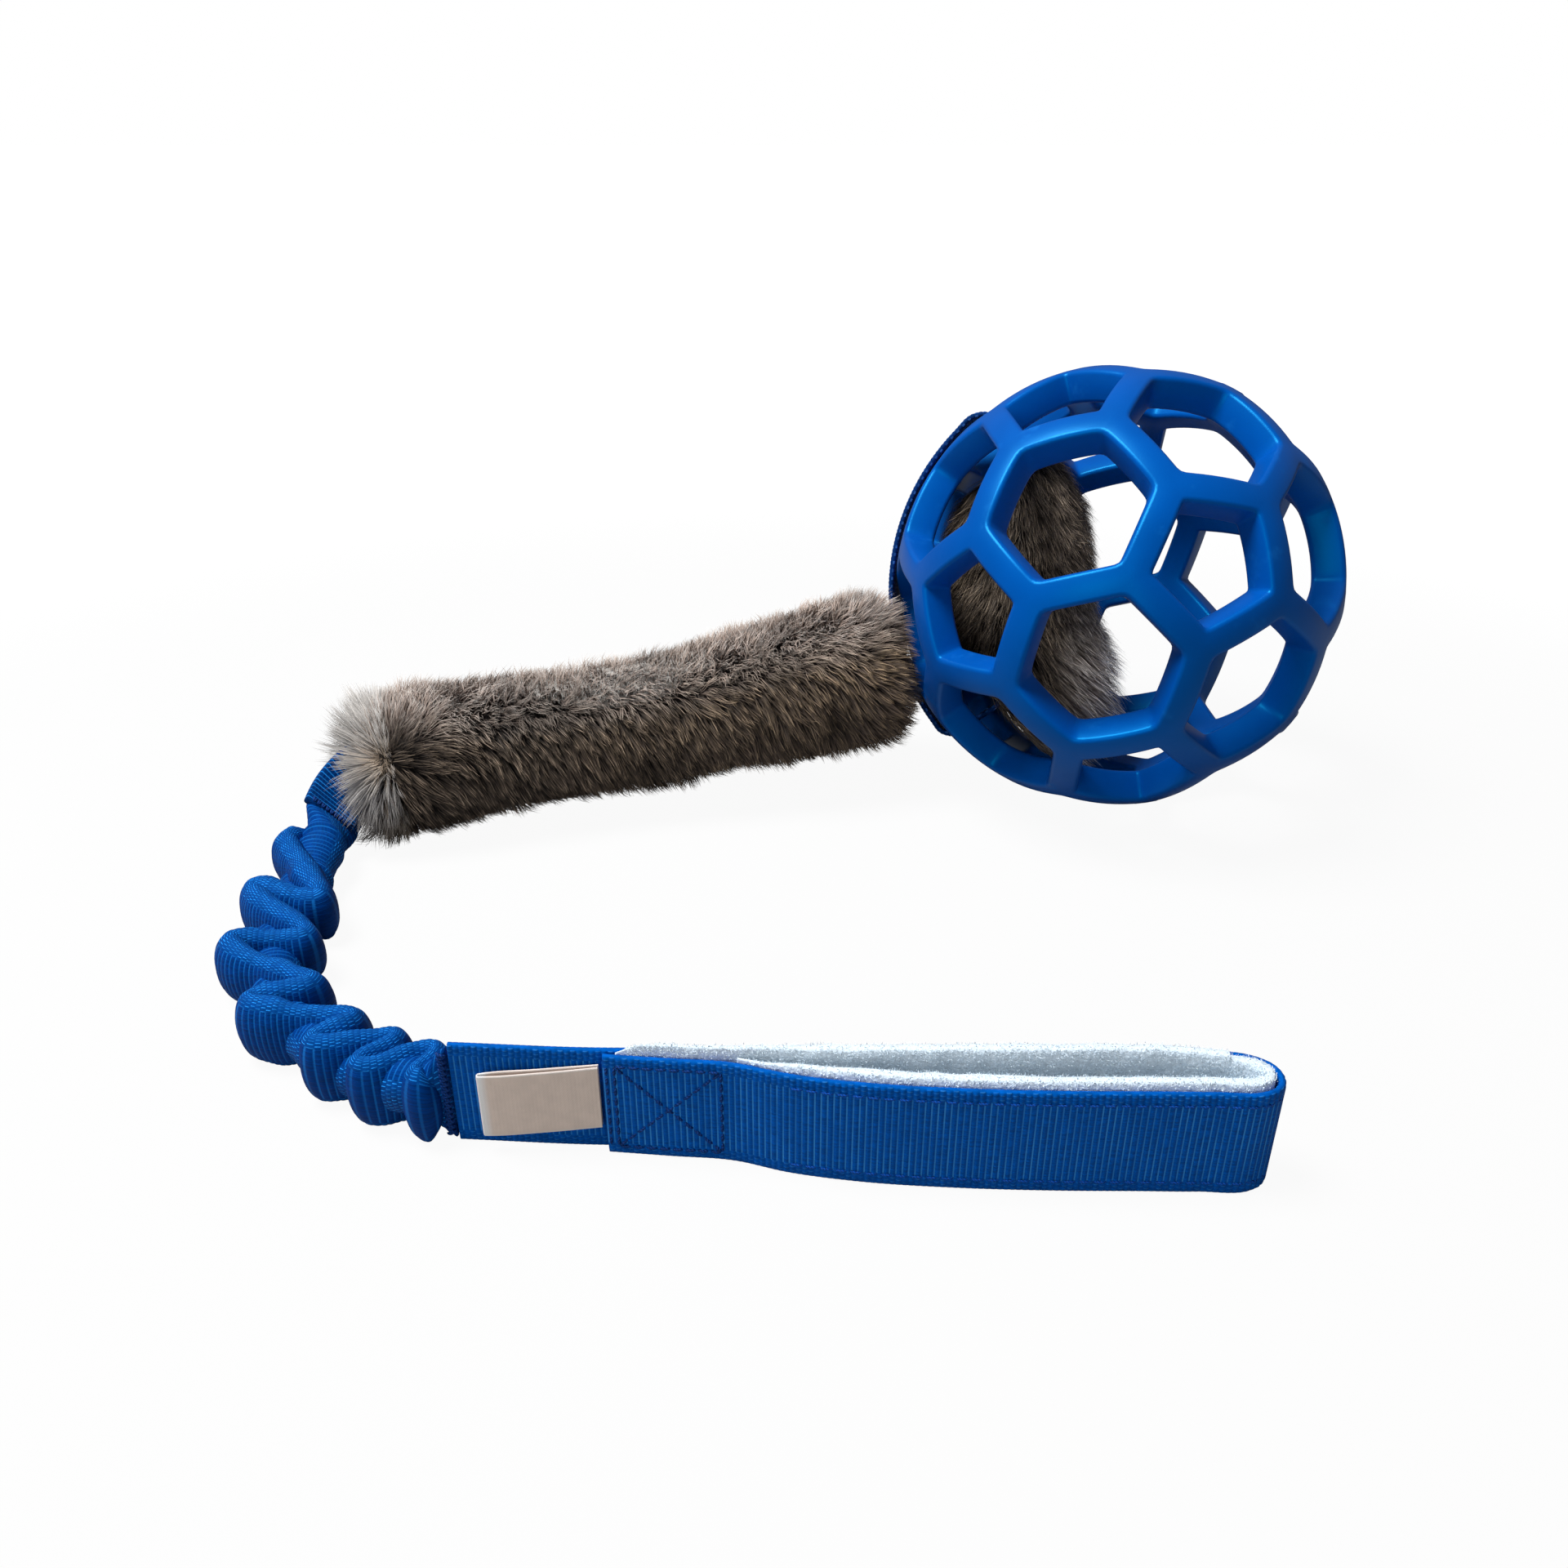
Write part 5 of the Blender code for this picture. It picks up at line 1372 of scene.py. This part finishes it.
class TOY_OT_elastic(bpy.types.Operator):
    """Makes the neck webbing, the elastic and the ruched webbing round it"""

    bl_idname = "tug_toy.elastic"
    bl_label = "Elastic Section"

    def execute(self, context):
        toy = context.scene.tug_toy
        route = bungee_route(toy)
        self.add_neck(toy, route)
        self.add_core(toy, route)
        self.add_ruching(toy, route)
        self.add_tail_tack(toy)
        return {"FINISHED"}

    def add_neck(self, toy, route):
        """The flat webbing that leaves the tug upright and leans over, and the tack through it."""
        elastic, rib = toy.elastic, toy.strap.rib
        width, thickness = elastic.neck_width, elastic.neck_thickness
        gone = np.linspace(0, elastic.neck_length - 0.006, 130)
        line = at_lengths(route, gone)
        left = lefts(line)
        line[:, 2] = neck.z + (elastic.radius - neck.z) * gone / elastic.neck_length
        leaning = neck_lean(toy, gone)[:, None]
        up = np.array((0.0, 0.0, 1.0))
        ups = up * np.cos(leaning) - left * np.sin(leaning)
        wide = left * np.cos(leaning) + up * np.sin(leaning)
        strip = webbing_rings(line, wide, ups, width, thickness, rib, SMOOTH_RIB_DEPTH)
        base, light = toned(elastic.webbing, 0.6), tuple(elastic.speck)
        finish = webbing_finish("neck_webbing_yarn", base, light, rib, 0.0, width, 0.05, 0.7, 0.4)
        mesh = swept("neck_strap", *strip)
        add_piece("neck_strap", mesh, finish, "bungee", ["neck_webbing"])
        spot, rise, side = Vector(line[-4]), Vector(ups[-4]), Vector(wide[-4])
        for name, sign, nodes in (("neck_tack", 1, ["neck_bartack"]), ("neck_tack_back", -1, ())):
            corner = placed(spot + side * sign * (thickness / 2 + THREAD * 0.3), rise, side.cross(rise))
            stitches = pairs(zigzag(width * 0.8, THREAD * 1.2, 18), corner)
            mesh = sewn(name, stitches, side * sign, THREAD / 2)
            finish = thread_finish(name + "_thread", tuple(toy.strap.seam))
            add_piece(name, mesh, finish, "bungee", nodes)

    def add_core(self, toy, route):
        elastic = toy.elastic
        total = lengths_along(route)[-1]
        run = np.linspace(elastic.neck_length + 0.001, total - 0.0026, 400)
        line = at_lengths(route, run)
        line[:, 2] = core_height(toy, run / total)
        inside = np.clip(np.minimum(run - run[0], (run[-1] - run) * 1.2) / 0.012, 0.16, 1)
        mesh = tube_mesh("elastic_core", line, elastic.core * inside, 24, 0.02, 0.0011)
        finish = soft_finish("elastic_braid", (0.62, 0.61, 0.58), 0.0002, 1.6, 0.1)
        piece = add_piece("elastic_core", mesh, finish, None, ["bungee_core"])
        stretching(piece)

    def add_ruching(self, toy, route):
        """The ruched webbing: a sleeve round the elastic with its folds on it, as one piece."""
        sleeve, along = sleeve_rings(toy, route)
        folds, fold_along = fold_rings(toy, route)
        rib = toy.strap.rib
        height = rib * 18
        meshes = [
            swept("sleeve", sleeve, np.linspace(0.5, 2.5, sleeve.shape[1] + 1) * height, along),
            swept("folds", folds, np.linspace(0, height * 2, folds.shape[1] + 1), fold_along),
        ]
        mesh = together("ruched_sleeve", meshes)
        mesh.shade_smooth()
        base, light = tuple(toy.elastic.webbing), tuple(toy.elastic.speck)
        # A high hem share: dots on the folds' edge zone and a painted highlight on their tops
        finish = webbing_finish("ruched_webbing_yarn", base, light, rib, 0.0052, height, line=0.30, hem=0.85)
        piece = add_piece("ruched_sleeve", mesh, finish, None, ["bungee_sleeve"])
        stretching(piece)

    def add_tail_tack(self, toy):
        """The tall zigzag that holds the elastic section to the hand strap."""
        aside = Vector((strap_heading.y, -strap_heading.x, 0))
        pivot = Vector((tail.x, tail.y, strap_height / 2)) - strap_heading * THREAD + aside * 0.0013
        corner = placed(pivot, Vector((0, 0, 1)), strap_heading)
        stitches = pairs(zigzag(strap_height * 0.84, 0.0010, 30), corner)
        finish = thread_finish("tail_thread", tuple(toy.strap.seam))
        mesh = sewn("tail_tack", stitches, aside, THREAD / 2)
        add_piece("tail_tack", mesh, finish, "bungee_end", ["tail_bartack"])


def strap_route(toy):
    """The middle line of the hand strap: label strap, far side, round end, near side and overlap."""
    strap = toy.strap
    half = OVERLAP_LENGTH / 2
    near_left = -(strap.thickness + SEAT_GAP)
    near_right = -(strap.thickness + strap.lining + SEAT_GAP * 3)
    start = [Vector((tail.x, tail.y, 0)), Vector((-half, 0, 0)), Vector((0, 0, 0)), Vector((half, 0, 0))]
    far, near = (
        [Vector((x * strap.reach, y * strap.width, 0)) for x, y in shares]
        for shares in (far_side_shares, near_side_shares)
    )
    turn = Vector((strap.reach - strap.fold, strap.fold - strap.width, 0))
    bend = [turn + polar(strap.fold, angle) for angle in fold_degrees]
    end = [(half, near_right, 0), (0, (near_left + near_right) / 2, 0), (-half, near_left, 0)]
    return np.array(smooth([*start, *far, *bend, *near, *map(Vector, end)], 16))


class TOY_OT_hand_loop(bpy.types.Operator):
    """Makes the ribbed hand strap, its fleece lining and its stitching"""

    bl_idname = "tug_toy.hand_loop"
    bl_label = "Hand Loop"

    def execute(self, context):
        toy = context.scene.tug_toy
        strap = toy.strap
        route = strap_route(toy)
        total = lengths_along(route)[-1]
        route = at_lengths(route, np.linspace(0.0004, total, 1600))
        base, light = tuple(strap.webbing), tuple(strap.line)
        finish = webbing_finish("strap_yarn", base, light, strap.rib, 0.0030, strap_height, 0.0, 0.8)
        line = route + np.array((0, 0, strap_height / 2))
        mesh = webbing_mesh("hand_strap", line, strap_height, strap.thickness, strap.rib, strap.rib_depth)
        add_piece("hand_strap", mesh, finish, "handle", ["handle_webbing"])
        self.add_lining(toy, route)
        self.add_rows(toy, route)
        self.add_box(toy, route)
        return {"FINISHED"}

    def add_lining(self, toy, route):
        """The fleece on the loop's inner side: thick and rounded, thinning out where it is sewn in."""
        strap = toy.strap
        half = OVERLAP_LENGTH / 2
        start = int(np.argmax(route[:, 0] >= -half * 0.80))
        finish = len(route) - int(np.argmax(route[::-1, 0] >= half * 1.03))
        line = route[start:finish]
        line = at_lengths(line, np.linspace(0, lengths_along(line)[-1], 900))
        gone = lengths_along(line)
        late = gone > gone[-1] / 2
        left = lefts(line)
        thick = self.lining_thickness(toy, line[:, 0], late)[:, None]
        angle = np.linspace(0, tau, 52, endpoint=False)
        flat, tall = squarer(np.cos(angle), 0.35), squarer(np.sin(angle), 0.75)
        deep = -(strap.thickness / 2 + SEAT_GAP * 0.4 + thick / 2 * (1 - flat[None]))
        high = (strap_height / 2 - 0.0001) * (1 + tall[None]) + 0.0002
        rings = line[:, None] + left[:, None] * deep[..., None] + np.array((0, 0, 1)) * high[..., None]
        puff = lumps(rings, 0.0022, 6) * 0.00016 + lumps(rings, 0.007, 7) * 0.00022
        rings -= left[:, None] * (puff * np.clip(-flat, 0, 1))[..., None]
        rise = np.where(late, 0.0010, 0.0020) * ramp(gone, 0, 0.004)
        rise = rise * np.maximum(ramp(-gone, -gone[-1], 0.012), 0.4)
        rings[..., 2] += np.clip(tall, 0, 1) ** 3 * (rise[:, None] + lumps(rings, 0.004, 8) * 0.00025)
        across = np.append(np.arange(1, len(angle) + 1) * strap_height * 2 / len(angle), 0)
        mesh = swept("fleece_lining", rings, across, gone)
        fleece = soft_finish("fleece_pile", tuple(strap.fleece), 0.0004, 0.8, 0.6)
        piece = add_piece("fleece_lining", mesh, fleece, "handle", ["handle_lining"])
        self.add_pile(toy, rings, line, left, flat, tall)

    def lining_thickness(self, toy, x, late):
        """How thick the fleece is at places along the strap: sewn thin, then swelling into its pile."""
        half, lining = OVERLAP_LENGTH / 2, toy.strap.lining
        full = lining + toy.strap.pile
        early = np.interp(x, (-half, 0, half, LINING_END_REACH), (0.0002, 0.0010, 0.0021, lining))
        early = np.where(x < LINING_END_REACH, early, full)
        spare = np.interp(x, (half, LINING_END_REACH, 0.040), (2 * SEAT_GAP, lining, full))
        span = 41
        thick = np.pad(np.where(late, spare, early), span // 2, mode="edge")
        return np.convolve(thick, np.full(span, 1 / span), mode="valid")

    def add_pile(self, toy, rings, line, left, flat, tall):
        """Short fibres that stand out of the fleece's open side and its upper edge."""
        hairs = 20000
        rng = np.random.default_rng(17)
        pick_ring = rng.integers(8, len(line) - 8, hairs)
        pick_side = rng.choice(len(flat), hairs, p=self.pile_share(flat, tall))
        roots = rings[pick_ring, pick_side] + rng.normal(0, 0.0002, (hairs, 3)) * (1, 1, 0)
        up = np.array((0, 0, 1))
        normals = -left[pick_ring] * np.clip(-flat[pick_side], 0, 1)[:, None]
        normals = normals + up * (tall[pick_side] ** 5)[:, None]
        normals = unit(normals + rng.normal(0, 0.15, normals.shape))
        along = unit(np.gradient(line, axis=0)[pick_ring])
        leans = unit(along * rng.normal(0, 1, (hairs, 1)) + up * rng.normal(0, 1, (hairs, 1)))
        lengths = 0.00055 * rng.uniform(0.6, 1.3, hairs)
        bends = [np.clip(bend + rng.normal(0, 0.3, hairs), 0.1, 1.5) for bend in (0.6, 1.3)]
        points = comb(roots, normals, leans, lengths, bends, 6, 0.4, rng)
        tone = (0.95 + rng.normal(0, 0.08, hairs)).clip(0.7, 1.2)[:, None, None]
        shades = np.array(toy.strap.fleece) * np.array((0.92, 1.0, 1.08))[None, :, None] * tone
        widths = np.full(hairs, 0.00024)
        mesh = hair_mesh("fleece_pile", lifted(points), normals, widths, shades.clip(0, 1), 9)
        add_piece("fleece_pile", mesh, hair_finish("fleece_fibre"), "handle")

    def pile_share(self, flat, tall):
        weight = np.clip(-flat, 0, 1) + np.clip(tall, 0, 1) ** 4 * 1.5
        return weight / weight.sum()

    def add_rows(self, toy, route):
        """Two rows of stitches that hold the lining, along both edges of the loop's outer side."""
        strap = toy.strap
        start = int(np.argmax(route[:, 0] >= OVERLAP_LENGTH / 2 + 0.001))
        finish = len(route) - int(np.argmax(route[::-1, 0] >= LINING_END_REACH))
        line = route[start:finish]
        total = lengths_along(line)[-1]
        points = at_lengths(line, np.linspace(0, total, round(total / EDGE_STITCH) + 1))
        left = lefts(points)
        thread = thread_finish("edge_thread", toned(strap.seam, 2))
        for name, height in (("lower", EDGE_STITCH_INSET), ("upper", strap_height - EDGE_STITCH_INSET)):
            outer = points + left * (strap.thickness / 2 + THREAD * 0.05) + np.array((0, 0, height))
            stitches = [(a + (b - a) * 0.08, b - (b - a) * 0.08) for a, b in zip(outer, outer[1:])]
            mesh = sewn(f"edge_stitches_{name}", stitches, left[:-1], THREAD * 0.34)
            add_piece(mesh.name, mesh, thread, "handle", [f"lining_stitch_{name}"])

    def add_box(self, toy, route):
        """The sewn box with a cross in it, on the near side of the overlap."""
        strap = toy.strap
        near = route[int(len(route) * 0.9) :]
        near = near[near[:, 0] <= OVERLAP_LENGTH / 2]
        near = near[np.argsort(near[:, 0])]
        x, y = BOX_REACH, BOX_HEIGHT
        beyond = -x - 2 * THREAD
        corners = [(-x, -y), (x, -y), (x, y), (-x, y)]
        lines = list(zip(corners, corners[1:] + corners[:1]))
        lines += [(corners[0], corners[2]), (corners[1], corners[3]), ((beyond, -y), (beyond, y))]

        def on_strap(point):
            depth = float(np.interp(point.x, near[:, 0], near[:, 1])) - strap.thickness / 2
            return np.array((point.x, depth - THREAD * 0.05, strap_height / 2 + point.y))

        stitches = []
        for start, end in ((Vector(a), Vector(b)) for a, b in lines):
            count = max(2, round((end - start).length / BOX_STITCH))
            for i in range(count):
                a, b = start.lerp(end, (i + 0.07) / count), start.lerp(end, (i + 0.93) / count)
                stitches.append((on_strap(a), on_strap(b)))
        mesh = sewn("box_stitches", stitches, (0, -1, 0), THREAD * 0.42)
        finish = thread_finish("box_thread", tuple(strap.seam))
        add_piece("box_stitches", mesh, finish, "handle", ["box_stitch"])


class TOY_OT_label(bpy.types.Operator):
    """Makes the bare folded label beside the overlap"""

    bl_idname = "tug_toy.label"
    bl_label = "Folded Label"

    def execute(self, context):
        toy = context.scene.tug_toy
        label = toy.label
        pivot = Vector(joints["label_flap"]["pos_m"])
        gap = (label.opening + label.leaf) / 2
        bend = Vector((-(label.length - gap - label.leaf / 2), 0, 0))
        fold = [bend + polar(gap, angle) for angle in range(90, 271, 15)]
        route = [Vector((0, gap, 0)), bend * 0.5 + Vector((0, gap, 0)), *fold]
        route += [bend * 0.5 - Vector((0, gap + SEAT_GAP, 0)), Vector((0, -gap, 0))]
        line = np.array(smooth(route, 8))
        line = at_lengths(line, np.linspace(0, lengths_along(line)[-1], 260))
        line[:, 2] += line[:, 0] * np.tan(radians(label.droop)) + label.height * 0.04
        line += np.array((pivot.x, pivot.y, label.lift + label.height / 2))
        ups = np.broadcast_to((0.0, 0.0, 1.0), line.shape)
        tape = webbing_rings(line, lefts(line), ups, label.height, label.leaf, 0.0008, 0.00003)
        mesh = swept("folded_tape", *tape)
        piece = add_piece("folded_tape", mesh, label_finish(toy), "label", ["folded_label"])
        return {"FINISHED"}


class TOY_OT_stage(bpy.types.Operator):
    """Makes the camera, the pale floor, the lamps and the even light"""

    bl_idname = "tug_toy.stage"
    bl_label = "Stage"

    def execute(self, context):
        stage = context.scene.tug_toy.stage
        scene = context.scene
        scene.view_settings.view_transform = "Standard"
        camera = bpy.data.objects.new("camera", bpy.data.cameras.new("camera"))
        scene.collection.objects.link(camera)
        camera.location = CAMERA_PLACE
        camera.rotation_euler = (radians(90 - stage.down), 0, 0)
        camera.data.lens = stage.lens
        camera.data.sensor_width = 36
        camera.data.clip_start = 0.01
        scene.camera = camera
        self.add_floor(stage)
        self.add_lamp("key_lamp", Vector((-0.42, 0.06, 1.05)), 0.50, stage.key)
        self.add_lamp("fill_lamp", Vector((-0.35, -0.95, 0.42)), 0.60, stage.fill)
        self.add_sky(stage)
        return {"FINISHED"}

    def add_lamp(self, name, place, across, power):
        lamp = bpy.data.lights.new(name, "AREA")
        lamp.shape = "DISK"
        lamp.size = across
        lamp.energy = power
        holder = bpy.data.objects.new(name, lamp)
        bpy.context.scene.collection.objects.link(holder)
        holder.location = place
        holder.rotation_euler = (Vector(LIT_POINT) - place).to_track_quat("-Z", "Y").to_euler()

    def add_floor(self, stage):
        """A wide floor that keeps the toy's shadow and shows white to the camera."""
        mesh = bpy.data.meshes.new("floor")
        bm = bmesh.new()
        bmesh.ops.create_grid(bm, x_segments=1, y_segments=1, size=6.0)
        bm.to_mesh(mesh)
        bm.free()
        floor = bpy.data.objects.new("floor", mesh)
        bpy.context.scene.collection.objects.link(floor)
        finish = Finish("floor_white", Roughness=1.0, Specular_IOR_Level=0.0)
        finish.colour(tuple(stage.floor))
        seen = finish.node("ShaderNodeLightPath", None, None, output="Is Camera Ray")
        glow = finish.node("ShaderNodeEmission", None, {"Color": (1, 1, 1), "Strength": 1.07})
        lit = Signal(finish, finish.shader.outputs[0])
        length = {"operation": "LENGTH"}
        far = finish.node("ShaderNodeVectorMath", length, {0: finish.place()}, output="Value")
        white = seen * (0.88 + 0.12 * far.between(0.32, 0.75))
        blend = finish.node("ShaderNodeMixShader", None, {0: white, 1: lit, 2: glow})
        finish.join(blend, finish.tree.nodes["Material Output"].inputs["Surface"])
        mesh.materials.append(finish.material)

    def add_sky(self, stage):
        """Even light from all round, which the camera and mirrors see as plain white."""
        world = bpy.data.worlds.new("studio")
        bpy.context.scene.world = world
        world.use_nodes = True
        nodes, links = world.node_tree.nodes, world.node_tree.links
        nodes.clear()
        path = nodes.new("ShaderNodeLightPath")
        direct = nodes.new("ShaderNodeMath")
        direct.operation = "MAXIMUM"
        links.new(path.outputs["Is Camera Ray"], direct.inputs[0])
        links.new(path.outputs["Is Transmission Ray"], direct.inputs[1])
        even, white = nodes.new("ShaderNodeBackground"), nodes.new("ShaderNodeBackground")
        even.inputs["Strength"].default_value = stage.sky
        white.inputs["Strength"].default_value = 1.0
        white.inputs["Color"].default_value = (1, 1, 1, 1)
        even.inputs["Color"].default_value = (0.96, 0.98, 1, 1)
        mixed = nodes.new("ShaderNodeMixShader")
        links.new(direct.outputs[0], mixed.inputs[0])
        links.new(even.outputs[0], mixed.inputs[1])
        links.new(white.outputs[0], mixed.inputs[2])
        out = nodes.new("ShaderNodeOutputWorld")
        links.new(mixed.outputs[0], out.inputs["Surface"])


class TOY_PT_panel(bpy.types.Panel):
    """Lists the toy's pieces in the sidebar"""

    bl_idname = "TOY_PT_panel"
    bl_label = "Dog Tug Toy"
    bl_space_type = "VIEW_3D"
    bl_region_type = "UI"
    bl_category = "Tug Toy"

    def draw(self, context):
        toy = context.scene.tug_toy
        groups = (toy.stage, toy.ball, toy.loop, toy.fur, toy.elastic, toy.strap, toy.label)
        for operator, settings in zip(operators, groups):
            box = self.layout.box()
            box.operator(operator.bl_idname)
            for name in settings.__annotations__:
                box.prop(settings, name)


settings_groups = (
    BallSettings, LoopSettings, FurSettings, ElasticSettings,
    StrapSettings, LabelSettings, StageSettings, ToySettings,
)
operators = (
    TOY_OT_stage, TOY_OT_ball, TOY_OT_ball_loop, TOY_OT_tug,
    TOY_OT_elastic, TOY_OT_hand_loop, TOY_OT_label,
)


def register():
    for group in settings_groups + operators + (TOY_PT_panel,):
        bpy.utils.register_class(group)
    bpy.types.Scene.tug_toy = PointerProperty(type=ToySettings)


def unregister():
    del bpy.types.Scene.tug_toy
    for group in reversed(settings_groups + operators + (TOY_PT_panel,)):
        bpy.utils.unregister_class(group)


def main():
    register()
    for operator in operators:
        group, action = operator.bl_idname.split(".")
        getattr(getattr(bpy.ops, group), action)()


if __name__ == "__main__":
    main()
